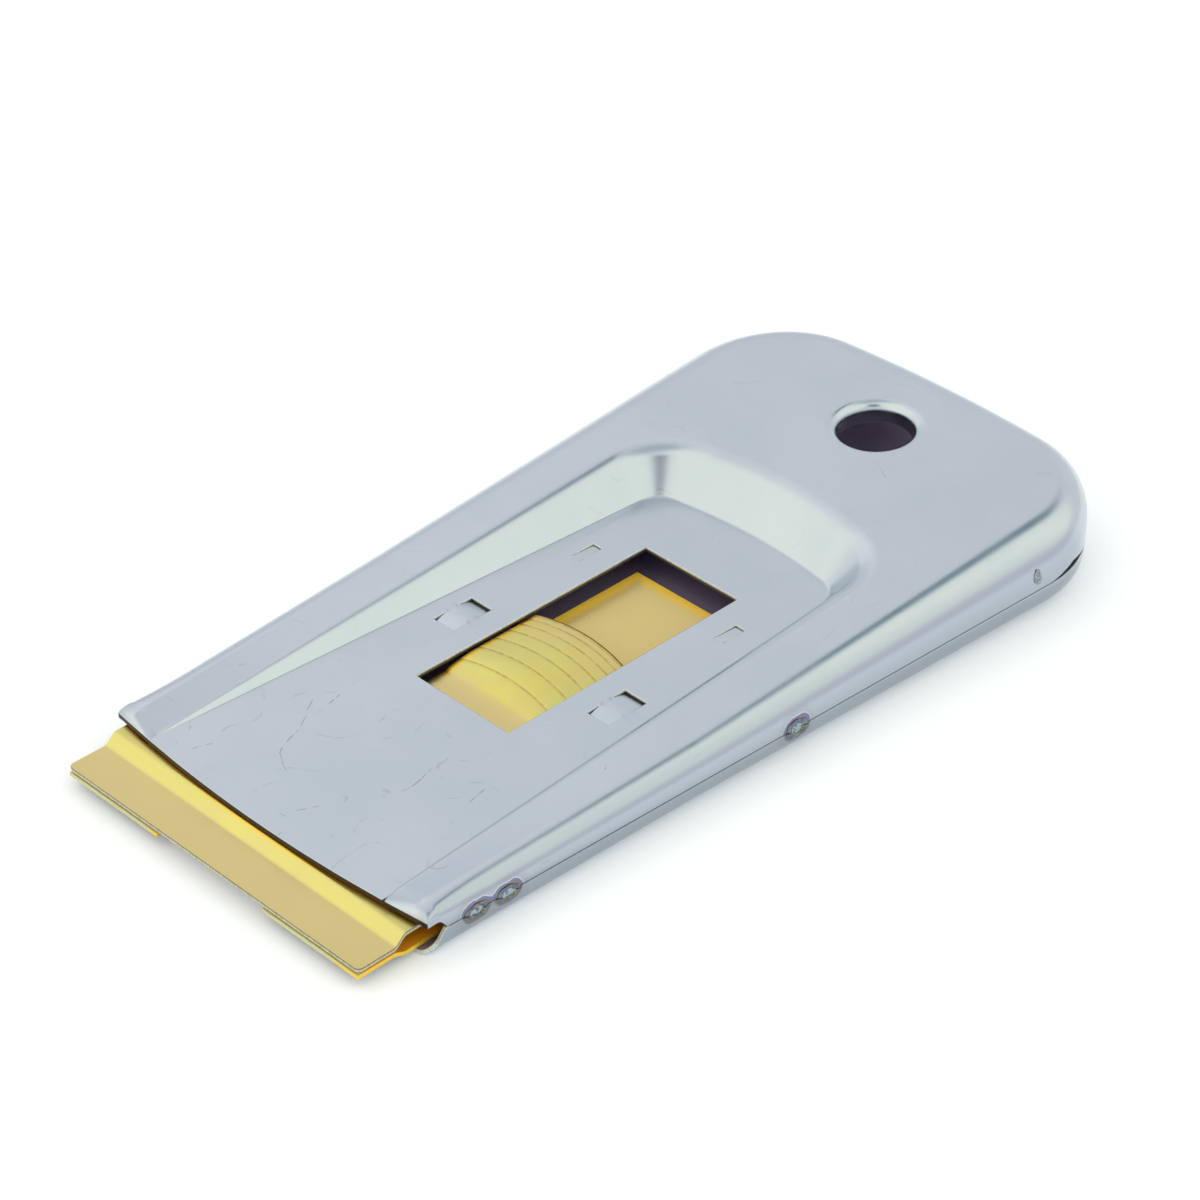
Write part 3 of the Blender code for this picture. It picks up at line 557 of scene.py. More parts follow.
def outline(side_rows):
    """Right half of the handle's plan, front to rear, as points with outward normals."""
    lean = math.atan(HALF_WIDTH_RISE)
    centre_x, centre_y = corner_centre()
    rear_centre = REAR_Y - REAR_RADIUS
    side_end = centre_y - CORNER_RADIUS * math.sin(lean)
    arc_end = math.atan2(centre_y - rear_centre, centre_x)
    stations = list(side_rows) + spaced(side_rows[-1], side_end, SIDE_STEPS)[1:]
    points = [(half_width(y), y, math.cos(lean), -math.sin(lean)) for y in stations]
    arcs = ((centre_x, centre_y, CORNER_RADIUS, spaced(-lean, arc_end, CORNER_STEPS)),
            (0.0, rear_centre, REAR_RADIUS, spaced(arc_end, math.pi / 2, REAR_STEPS)))
    for x, y, radius, turns in arcs:
        for turn in turns[1:]:
            away = (math.cos(turn), math.sin(turn))
            points.append((x + radius * away[0], y + radius * away[1], *away))
    points[-1] = (0.0, REAR_Y, 0.0, 1.0)
    return points


def recess_path(rows, side_x, corner, back_y):
    """Plan line round the recess: straight side, round rear corner, slightly bowed back."""
    points = [(side_x(y), y) for y in rows]
    centre_x = side_x(RECESS_TURN_Y) - corner
    for turn in spaced(0.0, math.pi / 2, RIM_CORNER_STEPS)[1:]:
        points.append((centre_x + corner * math.cos(turn), RECESS_TURN_Y + corner * math.sin(turn)))
    back_steps = SIDE_STEPS + CORNER_STEPS + REAR_STEPS - RIM_CORNER_STEPS
    for x in spaced(centre_x, 0.0, back_steps)[1:]:
        points.append((x, back_y - (back_y - RECESS_TURN_Y - corner) * (x / centre_x) ** 2))
    return points


def skirt_bottom(y):
    """Lower edge of the top shell, lifted at the mouth corners and at the rear corners."""
    if y <= MOUTH_CORNER_FRONT:
        return MOUTH_CORNER_Z
    gap = max(0.0, 1.0 - abs(y - CORNER_GAP_Y) / CORNER_GAP_HALF)
    return seam_z(y) + CORNER_GAP_LIFT * gap


def inward(point, reach, z):
    """Place at a distance inside an outline point."""
    x, y, away_x, away_y = point
    return x - away_x * reach, y - away_y * reach, z


def rolled_edge(point, inset, crest, roll, rise, bottom):
    """Skirt and rolled edge of one skin: up from its bottom, then over to the crest."""
    cut = math.asin(max(0.0, 1 - (crest - bottom) / rise))
    first = cut + ROLL_CUT_STEP if cut > 0.0 else 0.0
    skin = []
    for k, turn in enumerate([cut] + spaced(first, math.pi / 2, ROLL_STEPS)):
        reach = inset + roll * (1 - math.cos(turn))
        height = bottom if k == 0 else crest - rise * (1 - math.sin(turn))
        skin.append(inward(point, reach, height))
    return skin


def side_and_roll(point):
    """Skirt and rolled edge at one outline point, outer and inner, ending at the crest."""
    x, y, away_x, away_y = point
    share = ROLL_SHARE + (REAR_ROLL_SHARE - ROLL_SHARE) * max(0.0, away_y)
    share *= 1 - NOSE_TIGHTER * max(0.0, (NOSE_TIGHT_END - y) / (NOSE_TIGHT_END - LIP_Y)) ** 2
    roll = share * (top_height(x, y) - seam_z(y))
    crest = top_height(x - away_x * roll, y - away_y * roll)
    rise = share * (crest - seam_z(y))
    bottom = skirt_bottom(y)
    outer = rolled_edge(point, 0.0, crest, roll, rise, bottom)
    inner = rolled_edge(point, TOP_SHEET, crest - TOP_SHEET, max(roll - TOP_SHEET, ROLL_LEAST),
                        max(rise - TOP_SHEET, ROLL_LEAST), bottom)
    return outer, inner


def wall_skin(foot, out, run, top, bend, centre, radius):
    """One skin of the recess wall: a bend at its rim, then a fillet at its foot."""
    profile = []
    for turn in spaced(0.0, WALL_ANGLE, BEND_STEPS):
        profile.append((run - bend * math.sin(turn), top - bend * (1 - math.cos(turn))))
    for turn in spaced(WALL_ANGLE, 0.0, FILLET_STEPS):
        profile.append((centre[0] + radius * math.sin(turn), centre[1] - radius * math.cos(turn)))
    return [(foot[0] + out[0] * reach, foot[1] + out[1] * reach, FLOOR_Z + up) for reach, up in profile]


def recess_wall(rim, foot):
    """Recess wall from its rim to its foot, outer and inner."""
    depth = max(DEPTH_LEAST, top_height(*rim) - FLOOR_Z)
    run = math.dist(rim, foot)
    out = ((rim[0] - foot[0]) / run, (rim[1] - foot[1]) / run)
    slope_run = depth / math.tan(WALL_ANGLE)
    lean = math.tan(WALL_ANGLE / 2)
    bend = (run - slope_run) / lean
    bend_in = max(bend - TOP_SHEET, ROLL_LEAST)
    run_in = TOP_SHEET * lean + slope_run + bend_in * lean
    fillet = min(FOOT_FILLET, slope_run / (2 * lean))
    centre = (-fillet * lean, fillet)
    outer = wall_skin(foot, out, run, depth, bend, centre, fillet)
    inner = wall_skin(foot, out, run_in, depth - TOP_SHEET, bend_in, centre, fillet + TOP_SHEET)
    return outer, inner


def hole_circle(radius):
    """Right half of a circle round the hang hole, from its rear to its front."""
    turns = spaced(0.0, math.pi, BAND_HOLE_STEPS)[1:-1]
    side = [(radius * math.sin(turn), HOLE_Y + radius * math.cos(turn)) for turn in turns]
    return [(0.0, HOLE_Y + radius)] + side + [(0.0, HOLE_Y - radius)]


def hole_path(crest_y, rim_y):
    """Middle line of the plateau, from the rear crest round the hang hole to the recess rim."""
    rear = spaced(crest_y, HOLE_Y + HOLE_RADIUS, BAND_REAR_STEPS)[:-1]
    front = spaced(HOLE_Y - HOLE_RADIUS, rim_y, BAND_FRONT_STEPS)[1:]
    return [(0.0, y) for y in rear] + hole_circle(HOLE_RADIUS) + [(0.0, y) for y in front]


def plateau_band(crests, rims, first_back):
    """Plan points between the crest line and the recess rim, one row per station."""
    steps = BAND_REAR_STEPS + BAND_HOLE_STEPS + BAND_FRONT_STEPS
    last = len(crests) - 1
    middle = hole_path(crests[last][1], rims[last][1])
    rows = []
    for i in range(len(crests)):
        across = max(0.0, (i - first_back) / (last - first_back))
        row = []
        for k in range(1, steps):
            straight = mix(crests[i], rims[i], k / steps)
            middle_straight = mix(crests[last], rims[last], k / steps)
            row.append(tuple(straight[n] + across * (middle[k][n] - middle_straight[n]) for n in (0, 1)))
        rows.append(row)
    return rows


def lance_drop(x, y):
    """How far the floor is pressed down at the ends of a bridge and at the rear of a ramp."""
    off = abs(y - BRIDGE_MIDDLE)
    if off < BRIDGE_HALF and BRIDGE_IN < x < BRIDGE_OUT:
        return BRIDGE_DROP * (off / BRIDGE_HALF) ** 2
    if RAMP_FRONT < y <= RAMP_REAR and BRIDGE_IN < x < RAMP_OUT:
        return RAMP_DROP * (y - RAMP_FRONT) / (RAMP_REAR - RAMP_FRONT)
    return 0.0


def bridge_cut(x, y):
    """True in the slits round a bridge, which is held only at the middle of its sides."""
    off = abs(y - BRIDGE_MIDDLE)
    on_bridge = BRIDGE_IN < x < BRIDGE_OUT and off < BRIDGE_HALF
    beside = x < BRIDGE_IN + SIDE_SLIT or x > BRIDGE_OUT - SIDE_SLIT
    return on_bridge and (off > BRIDGE_HALF - END_SLIT or (beside and off > BRIDGE_HOLD))


def floor_open(x, y):
    """True in the window and in the sheared slits, at the middle of a floor cell."""
    in_window = x < WINDOW_HALF and WINDOW_FRONT < y < WINDOW_REAR
    on_ramp = BRIDGE_IN < x < RAMP_OUT and RAMP_FRONT < y < RAMP_REAR + END_SLIT
    beside_ramp = x < BRIDGE_IN + SIDE_SLIT or x > RAMP_OUT - SIDE_SLIT or y > RAMP_REAR
    return in_window or bridge_cut(x, y) or (on_ramp and beside_ramp)


def top_rows():
    """Stations along the top shell: behind the lip, then along the floor and its lances."""
    mouth = refined((MOUTH_CORNER_FRONT, MOUTH_CORNER_END, WINDOW_FRONT, BRIDGE_FRONT), ROW_STEP)
    bridge = refined((BRIDGE_FRONT, BRIDGE_FRONT + END_SLIT, BRIDGE_MIDDLE - BRIDGE_HOLD,
                      BRIDGE_MIDDLE + BRIDGE_HOLD, BRIDGE_REAR - END_SLIT, BRIDGE_REAR), LANCE_STEP)
    rear = refined((BRIDGE_REAR, RAMP_FRONT, RAMP_REAR, RAMP_REAR + END_SLIT, WINDOW_REAR, RECESS_TURN_Y),
                   ROW_STEP)
    return (LIP_Y,) * len(NOSE_ROWS) + mouth + bridge[1:] + rear[1:]


def top_skin(sides, walls, drop, first_back):
    """Rows of one skin of the top shell: skirt and rolled edge, plateau and recess wall."""
    rows = []
    bands = plateau_band([side[-1][:2] for side in sides], [wall[0][:2] for wall in walls], first_back)
    for i, band in enumerate(bands):
        row = sides[i] + [(x, y, top_height(x, y) - drop) for x, y in band] + walls[i]
        if i < len(NOSE_ROWS):
            row = [nosed(point, NOSE_ROWS[i], FLOOR_Z - drop) for point in row]
        rows.append(row)
    return rows


def top_shell(materials):
    sheet = Sheet(TOP_SHEET)
    side_rows = top_rows()
    rims = recess_path(side_rows, rim_x, RIM_CORNER, RIM_BACK_Y)
    feet = recess_path(side_rows, foot_x, FOOT_CORNER, FOOT_BACK_Y)
    sides = zip(*(side_and_roll(point) for point in outline(side_rows)))
    walls = zip(*(recess_wall(rim, foot) for rim, foot in zip(rims, feet)))
    skins = [top_skin(*skin, len(side_rows) - 1) for skin in zip(sides, walls, (0.0, TOP_SHEET))]
    rows = [[sheet.point(p, q) for p, q in zip(outer, inner)] for outer, inner in zip(*skins)]
    sheet.strip(rows)
    add_floor(sheet, rows, side_rows)
    start = ROLL_STEPS + 2
    ring = rows[-1][start + BAND_REAR_STEPS - 1:start + BAND_REAR_STEPS + BAND_HOLE_STEPS]
    add_ring_flange(sheet, ring, HOLE_RADIUS, TOP_SHEET, FLANGE_ROLL, FLANGE_DEPTH, -1)
    return close_sheet("handle_top", sheet, materials, SHELL_EASE)


def add_floor(sheet, rows, side_rows):
    """Flat recess floor with its window and lances, joined to the foot of the recess walls."""
    key = (0.0, WINDOW_HALF, BRIDGE_IN, BRIDGE_IN + SIDE_SLIT, RAMP_OUT - SIDE_SLIT, RAMP_OUT,
           BRIDGE_OUT - SIDE_SLIT, BRIDGE_OUT)
    columns = refined(key, COLUMN_STEP)
    grid = []
    for i, y in enumerate(side_rows):
        row = []
        for x in columns:
            along = lip_y(x) + NOSE_ROWS[i] if i < len(NOSE_ROWS) else y
            row.append(sheet.flat(x, along, FLOOR_Z - lance_drop(x, y)))
        grid.append(row + [rows[i][-1]])
    columns = columns + (FOOT_X,)
    for i in range(len(side_rows) - 1):
        y = (side_rows[i] + side_rows[i + 1]) / 2
        for k in range(len(columns) - 1):
            if not floor_open((columns[k] + columns[k + 1]) / 2, y):
                sheet.face((grid[i][k + 1], grid[i][k], grid[i + 1][k], grid[i + 1][k + 1]))
    back = [row[-1] for row in rows[len(side_rows):]]
    sheet.face(list(reversed(grid[-1])) + list(reversed(back)))


def add_ring_flange(sheet, ring, radius, thickness, roll, depth, way):
    """Flange drawn round a hole: down for way -1, up for way 1."""
    rows = [ring]
    for k in range(1, FLANGE_STEPS + 2):
        turn = math.pi / 2 * min(1.0, k / FLANGE_STEPS)
        skins = []
        for inset in (0.0, thickness):
            bend = roll - inset
            drop = inset + bend * (1 - math.cos(turn)) if k <= FLANGE_STEPS else depth
            skins.append((1 - bend * math.sin(turn) / radius, way * drop))
        row = []
        for i in ring:
            x, y, z = sheet.outer[i]
            pair = [(x * share, HOLE_Y + (y - HOLE_Y) * share, z + drop) for share, drop in skins]
            row.append(sheet.point(*pair))
        rows.append(row)
    sheet.strip(rows)


def tray_roll(y):
    return min(TRAY_ROLL_MOST, TRAY_ROLL_FRONT + TRAY_ROLL_RISE * (y - TRAY_WALL_FRONT))


def tray_front(x, z, top):
    """Front edge of the tray, sweeping forward from the top of its wall to its floor."""
    return TRAY_WALL_FRONT + (lip_y(x) - TRAY_WALL_FRONT) * (1 - z / top)


def tray_skin(point, inset, top):
    """Wall and rolled edge of one skin of the tray, from its top down to its floor."""
    roll = tray_roll(point[1]) - inset
    skin = [inward(point, inset, top)]
    for turn in spaced(0.0, math.pi / 2, ROLL_STEPS):
        reach = inset + roll * (1 - math.cos(turn))
        skin.append(inward(point, reach, inset + roll * (1 - math.sin(turn))))
    return skin


def bottom_shell(materials):
    sheet = Sheet(-TRAY_SHEET)
    rows = []
    for i, point in enumerate(outline(refined((TRAY_WALL_FRONT, RECESS_TURN_Y), ROW_STEP))):
        top = seam_z(point[1]) - SEAM_GAP
        skins = [tray_skin(point, inset, top) for inset in (0.0, TRAY_SHEET)]
        if i == 0:
            fronts = [tray_front(x, z, top) for x, _, z in skins[0]]
            skins = [[(x, front, z) for (x, _, z), front in zip(skin, fronts)] for skin in skins]
        rows.append([sheet.point(outer, inner) for outer, inner in zip(*skins)])
    sheet.strip(rows)
    add_tray_floor(sheet, [row[-1] for row in rows])
    return close_sheet("handle_tray", sheet, materials, TRAY_EASE)


def add_tray_floor(sheet, edge):
    """Flat tray floor with its swept front edge, and the flange drawn up round its hang hole."""
    reach = sheet.outer[edge[0]][0]
    front = [sheet.flat(x, lip_y(x), 0.0) for x in spaced(0.0, reach, TRAY_FRONT_STEPS)[:-1]]
    hole = [sheet.flat(x, y, 0.0) for x, y in hole_circle(TRAY_HOLE_RADIUS)]
    sheet.face(reversed(front + list(edge) + hole))
    add_ring_flange(sheet, hole, TRAY_HOLE_RADIUS, TRAY_SHEET, TRAY_FLANGE_ROLL, TRAY_FLANGE_DEPTH, 1)


def eased(y, start, end):
    """Share of the way from start to end, leaving and arriving level."""
    share = min(1.0, max(0.0, (y - start) / (end - start)))
    return share * share * (3 - 2 * share)


def carrier_sheet(stations, height, strips):
    """Sheet of strips, each between two places across and two stations, and its points."""
    sheet = Sheet(CARRIER_SHEET)
    points = {}
    for inner, outer, front, rear in strips:
        rows = [[(x, y) for x in (inner, outer)] for y in stations if front <= y <= rear]
        for x, y in sum(rows, []):
            if (x, y) not in points:
                points[x, y] = sheet.flat(x, y, height(y))
        sheet.strip([[points[place] for place in row] for row in rows])
    return sheet, points


def upper_height(y):
    z = JAW_Z + (MOUTH_PLATE_Z - JAW_Z) * eased(y, STEP_FRONT, STEP_REAR)
    return z + (UPPER_PLATE_Z - MOUTH_PLATE_Z) * eased(y, MOUTH_PLATE_FRONT, MOUTH_PLATE_REAR)


def lower_height(y):
    z = TAB_Z + (LOWER_PLATE_Z - TAB_Z) * eased(y, STEP_FRONT, STEP_REAR)
    return z + (TAIL_Z - LOWER_PLATE_Z) * eased(y, TAIL_RISE_FRONT, TAIL_RISE_REAR)


def upper_jaw(materials):
    """Yellow upper sheet: jaw strip, step up, full-width plate and the neck that carries the tongue."""
    corner_x = JAW_HALF - JAW_CORNER
    corner_y = JAW_FRONT + JAW_CORNER
    stations = [JAW_FRONT, corner_y, *spaced(STEP_FRONT, STEP_REAR, JAW_STEP_STEPS),
                *spaced(MOUTH_PLATE_FRONT, MOUTH_PLATE_REAR, JAW_STEP_STEPS), SHOULDER_Y, NECK_REAR]
    sheet, points = carrier_sheet(stations, upper_height, (
        (0.0, NECK_HALF, JAW_FRONT, NECK_REAR),
        (NECK_HALF, corner_x, JAW_FRONT, SHOULDER_Y),
        (corner_x, JAW_HALF, corner_y, SHOULDER_Y),
    ))
    cut = JAW_CORNER * (1 - math.cos(math.pi / 4))
    bevel = sheet.flat(JAW_HALF - cut, JAW_FRONT + cut, JAW_Z)
    sheet.face((points[corner_x, JAW_FRONT], bevel, points[JAW_HALF, corner_y], points[corner_x, corner_y]))
    return close_sheet("jaw_upper_sheet", sheet, materials, CARRIER_EASE)


def lower_jaw(materials):
    """Yellow lower sheet: two jaw tabs, step down, full-width plate and the long tail."""
    stations = [JAW_FRONT, TAB_NOTCH_Y, *spaced(STEP_FRONT, STEP_REAR, JAW_STEP_STEPS), SHOULDER_Y, NECK_REAR,
                *spaced(TAIL_RISE_FRONT, TAIL_RISE_REAR, TAIL_STEPS), TAIL_REAR]
    sheet, _ = carrier_sheet(stations, lower_height, (
        (0.0, TAIL_HALF, TAB_NOTCH_Y, TAIL_REAR),
        (TAIL_HALF, TAB_INNER, TAB_NOTCH_Y, NECK_REAR),
        (TAB_INNER, TAB_HALF, JAW_FRONT, SHOULDER_Y),
    ))
    return close_sheet("jaw_lower_sheet", sheet, materials, CARRIER_EASE)


def bump_height(x, y):
    """Dome of the thumb bump above the tongue, which ends at its sheared rear edge."""
    share = min(1.0, max(0.0, (y - BUMP_FRONT) / BUMP_RISE))
    across = 1 - (1 - BUMP_EDGE_SHARE) * (x / TONGUE_HALF) ** 2
    return BUMP_HEIGHT * math.sin(math.pi / 2 * share) * across


def groove_y(k):
    """Place of a groove across the bump; the grooves close up towards the rear."""
    return BUMP_REAR - (BUMP_REAR - BUMP_FRONT) * (1 - k / RIDGES) ** RIDGE_CLOSING


def land_lift(y):
    """Height of the lands between the grooves above the dome."""
    return RIDGE_HEIGHT * eased(y, BUMP_FRONT, BUMP_FRONT + BUMP_RISE)


def tongue_stations():
    """Rows of the tongue: place along it, lift above the dome, slot of the faces behind."""
    stations = [(y, 0.0, OUTER) for y in spaced(TONGUE_FRONT, BUMP_FRONT, LAND_STEPS)]
    start = BUMP_FRONT
    for k in range(1, RIDGES):
        front, middle, rear = groove_y(k) - GROOVE_HALF, groove_y(k), groove_y(k) + GROOVE_HALF
        stations += [(y, land_lift(y), OUTER) for y in spaced(start, front, LAND_STEPS)[1:-1]]
        stations += [(front, land_lift(front), GROOVE), (middle, land_lift(middle) - GROOVE_DEPTH, GROOVE),
                     (rear, land_lift(rear), OUTER)]
        start = rear
    # The last strip before the sheared rear edge gets the painted shadow slot.
    return stations + [(BUMP_REAR - REAR_SHADE_LINE, RIDGE_HEIGHT, REAR_SHADE_EDGE), (BUMP_REAR, RIDGE_HEIGHT, REAR_SHADE_EDGE)]


def thumb_tongue(materials):
    """Sprung rear end of the upper sheet: flat, grooved bump and the two ears under the floor."""
    sheet = Sheet(CARRIER_SHEET)
    rows = []
    for y, lift, slot in tongue_stations():
        row = []
        for x in spaced(0.0, TONGUE_HALF, TONGUE_STEPS):
            bow = BUMP_BOW * x * x * min(1.0, max(0.0, (y - BUMP_FRONT) / BUMP_BOW_LEAD))
            z = UPPER_PLATE_Z + bump_height(x, y)
            row.append(sheet.point((x, y - bow, z + lift), (x, y - bow, z - CARRIER_SHEET)))
        rows.append((row, slot))
    for (first, slot), (second, _) in zip(rows, rows[1:]):
        sheet.strip([first, second], slot)
    ears = []
    for row, _ in rows:
        y = sheet.outer[row[-1]][1]
        if EAR_FRONT < y < EAR_REAR:
            ears.append([row[-1]] + [sheet.flat(x, y, UPPER_PLATE_Z) for x in (EAR_BEND_X, EAR_HALF)])
    sheet.strip(ears)
    return close_sheet("thumb_bump_sheet", sheet, materials, CARRIER_EASE)


def wall_place(y, z):
    """Point on the right side of the handle, with the directions away, along and up."""
    lean = math.atan(HALF_WIDTH_RISE)
    outer, _ = side_and_roll((half_width(y), y, math.cos(lean), -math.sin(lean)))
    low, high = outer[:2]
    for first, second in zip(outer, outer[1:]):
        if first[2] <= z <= second[2]:
            low, high = first, second
    share = min(1.0, max(0.0, (z - low[2]) / (high[2] - low[2])))
    up = (Vector(high) - Vector(low)).normalized()
    along = Vector((HALF_WIDTH_RISE, 1.0, 0.0)).normalized()
    place = Vector(mix(low, high, share))
    place.z = z
    return place, along.cross(up).normalized(), along, up


def weld_profile(share):
    """Height of a weld spot from rim to middle: a raised ring, a shallow ditch and a nugget."""
    ring = WELD_RING_HEIGHT * math.exp(-((share - WELD_RING_AT) / WELD_RING_SPREAD) ** 2)
    nugget = eased(share, NUGGET_FOOT, NUGGET_TOP)
    return min(1.0, ring + nugget) * eased(share, 0.0, WELD_RIM)


def weld_bead(name, side, spot, materials):
    """Oval weld spot lying just outside the wall, with a dark ring round its bright nugget."""
    y, z, half_length, half_height = spot
    place, away, along, up = wall_place(y, z)
    verts = [place + away * WELD_GAP]
    shares = spaced(0.0, 1.0, WELD_RINGS + 1)[:-1]
    rings = []
    for share in shares:
        rings.append(range(len(verts), len(verts) + WELD_SIDES))
        lift = WELD_GAP + WELD_PROUD * weld_profile(share)
        for turn in spaced(0.0, 2 * math.pi, WELD_SIDES)[:-1]:
            wave = sum(depth * math.sin(count * turn + shift * y) for count, shift, depth in WELD_WAVES)
            flat = along * half_length * math.cos(turn) + up * half_height * math.sin(turn)
            verts.append(place + flat * (1 - share) * min(1.0, 1 + wave - WELD_INSET) + away * lift)
    verts.append(place + away * (WELD_GAP + WELD_PROUD))
    faces = []
    slots = []
    for i in range(WELD_SIDES):
        after = (i + 1) % WELD_SIDES
        faces += [(0, rings[0][after], rings[0][i]), (rings[-1][i], rings[-1][after], len(verts) - 1)]
        slots += [0, 1]
        for first, second, share in zip(rings, rings[1:], shares):
            faces.append((first[i], first[after], second[after], second[i]))
            slots.append(1 if share >= NUGGET_SHARE else 0)
    if side < 0:
        faces = [tuple(reversed(face)) for face in faces]
    return make_piece(name, [(side * v.x, v.y, v.z) for v in verts], faces, materials, slots)


class Tree:
    """Short calls for building the nodes of one material, or of the studio."""

    def __init__(self, owner, shader="Principled BSDF"):
        owner.use_nodes = True
        self.owner = owner
        self.nodes = owner.node_tree.nodes
        self.links = owner.node_tree.links
        self.shader = self.nodes[shader]

    def feed(self, socket, value):
        if isinstance(value, bpy.types.NodeSocket):
            self.links.new(value, socket)
        else:
            socket.default_value = (*value, 1.0) if socket.type == "RGBA" else value

    def node(self, kind, inputs, **settings):
        made = self.nodes.new("ShaderNode" + kind)
        for key, value in settings.items():
            setattr(made, key, value)
        for key, value in inputs.items():
            self.feed(made.inputs[key], value)
        return made

    def set(self, values):
        for name, value in values.items():
            self.feed(self.shader.inputs[name], value)

    def finish(self, colour, metallic, roughness):
        """The material, with its main values set."""
        self.set({"Base Color": colour, "Metallic": metallic, "Roughness": roughness})
        return self.owner

    def math(self, operation, *values):
        return self.node("Math", dict(enumerate(values)), operation=operation).outputs[0]

    def joined(self, operation, values, *more):
        """Several values taken together, one after another."""
        total = values[0]
        for value in values[1:]:
            total = self.math(operation, total, value, *more)
        return total

    def times(self, *values):
        return self.joined("MULTIPLY", values)

    def most(self, *values):
        return self.joined("MAXIMUM", values)

    def less(self, a, b):
        return self.math("SUBTRACT", a, b)

    def sloped(self, value, slope, start):
        """Start plus slope times the value."""
        return self.math("MULTIPLY_ADD", value, slope, start)

    def vector(self, operation, a, b):
        made = self.node("VectorMath", {0: a, 1: b}, operation=operation)
        return made.outputs["Value" if operation in ("DOT_PRODUCT", "DISTANCE") else "Vector"]

    def scaled(self, vector, factor):
        return self.node("VectorMath", {0: vector, "Scale": factor}, operation="SCALE").outputs["Vector"]

    @cached_property
    def place(self):
        """Position on the piece in millimetres."""
        return self.scaled(self.node("TexCoord", {}).outputs["Object"], 1 / MM)

    @cached_property
    def parts(self):
        """Coordinates of the position: across the handle, along it and up."""
        return self.node("SeparateXYZ", {0: self.place}).outputs

    def mapped(self, scale, turn=0.0):
        """Position scaled along the axes and turned about the upright one."""
        inputs = {"Vector": self.place, "Rotation": (0.0, 0.0, turn), "Scale": scale}
        return self.node("Mapping", inputs).outputs[0]

    def noise(self, scale, detail=3.0, place=None):
        vector = self.place if place is None else place
        inputs = {"Vector": vector, "Scale": scale, "Detail": detail, "Roughness": NOISE_ROUGHNESS}
        return self.node("TexNoise", inputs).outputs[0]

    def ranged(self, value, low, high, start=0.0, end=1.0):
        inputs = {"Value": value, "From Min": low, "From Max": high, "To Min": start, "To Max": end}
        return self.node("MapRange", inputs, interpolation_type="SMOOTHSTEP").outputs[0]

    def spread(self, noise, start, end):
        """Noise spread over a range."""
        return self.ranged(noise, *NOISE_SWING, start, end)

    def band(self, value, start, full, fade, end):
        """Share that rises from start to full and falls from fade to end."""
        return self.times(self.ranged(value, start, full), self.ranged(value, end, fade))

    def blend(self, share, a, b):
        made = self.node("Mix", {0: share}, data_type="RGBA")
        colours = [socket for socket in made.inputs if socket.type == "RGBA"]
        self.feed(colours[0], a)
        self.feed(colours[1], b)
        return [socket for socket in made.outputs if socket.type == "RGBA"][0]

    def layered(self, colour, *layers):
        """Colour with others laid over it, each by its share."""
        for share, other in layers:
            colour = self.blend(share, colour, other)
        return colour

    def bump(self, height, depth):
        """Surface normal from a height, with the depth in millimetres at full height."""
        made = self.node("Bump", {"Height": height, "Strength": 1.0, "Distance": depth * MM})
        self.set({"Normal": made.outputs[0]})

    def segment(self, place, start, end):
        """Distance in millimetres from a straight line between two points."""
        run = Vector(end) - Vector(start)
        offset = self.vector("SUBTRACT", place, start)
        along = self.vector("DOT_PRODUCT", offset, run / run.length_squared)
        held = self.node("Clamp", {"Value": along}).outputs[0]
        return self.vector("DISTANCE", offset, self.scaled(run, held))


def material_tree(name):
    return Tree(bpy.data.materials.new(name))


def steel_material():
    """Bright nickel plating: soft mottle, fine grain, handling scratches and heat tint round the welds, with
    painted shade darkening the sides and, more deeply, the tray's sides.
    """
    tree = material_tree("nickel_steel_fine")
    mottle = tree.noise(0.09, 4.0)
    grain = tree.noise(9.0, 2.0)
    ripple = tree.noise(0.55, 2.0)
    worn = hairlines(tree)
    marks = tree.most(scratch_mask(tree), scuffs(tree))
    # Painted shade on the sides and on the tray's sides.
    side, tray = side_shade_masks(tree)
    colour = tree.layered(NICKEL, (tree.spread(mottle, 0.0, 1.0), NICKEL_COOL), (side, NICKEL_SIDE_SHADE),
                          (tray, NICKEL_TRAY_SHADE), (tree.times(marks, 0.7), SCRATCH_GREY))
    height = 0.0
    for layer, depth in ((grain, 0.04), (mottle, 0.6), (ripple, 0.3), (marks, -0.5), (worn, -0.01)):
        height = tree.sloped(layer, depth, height)
    tree.bump(height, 0.03)
    rough = tree.sloped(worn, 0.03, tree.ranged(mottle, 0.25, 0.75, 0.19, 0.25))
    return tree.finish(heat_tint(tree, colour), 1.0, rough)


def side_shade_masks(tree):
    """Shares of the painted shade on the sides, and of the deeper painted shade on those of the tray."""
    x, y, z = tree.parts
    depth = tree.less(tree.sloped(y, HALF_WIDTH_RISE, HALF_WIDTH), tree.math("ABSOLUTE", x))
    side = tree.times(tree.ranged(depth, *SIDE_SHADE_DEPTH), tree.ranged(z, *SIDE_SHADE_HEIGHT))
    return side, tree.times(side, tree.ranged(z, SEAM_Z + TRAY_SHADE_FADE, SEAM_Z - TRAY_SHADE_FADE))


def hairlines(tree):
    """Very fine scratches, in two directions."""
    lines = []
    for angle in HAIRLINE_ANGLES:
        stretched = tree.mapped(HAIRLINE_SCALE, math.radians(angle))
        lines.append(tree.ranged(tree.noise(1.0, 2.0, stretched), 0.70, 0.78))
    return tree.most(*lines)


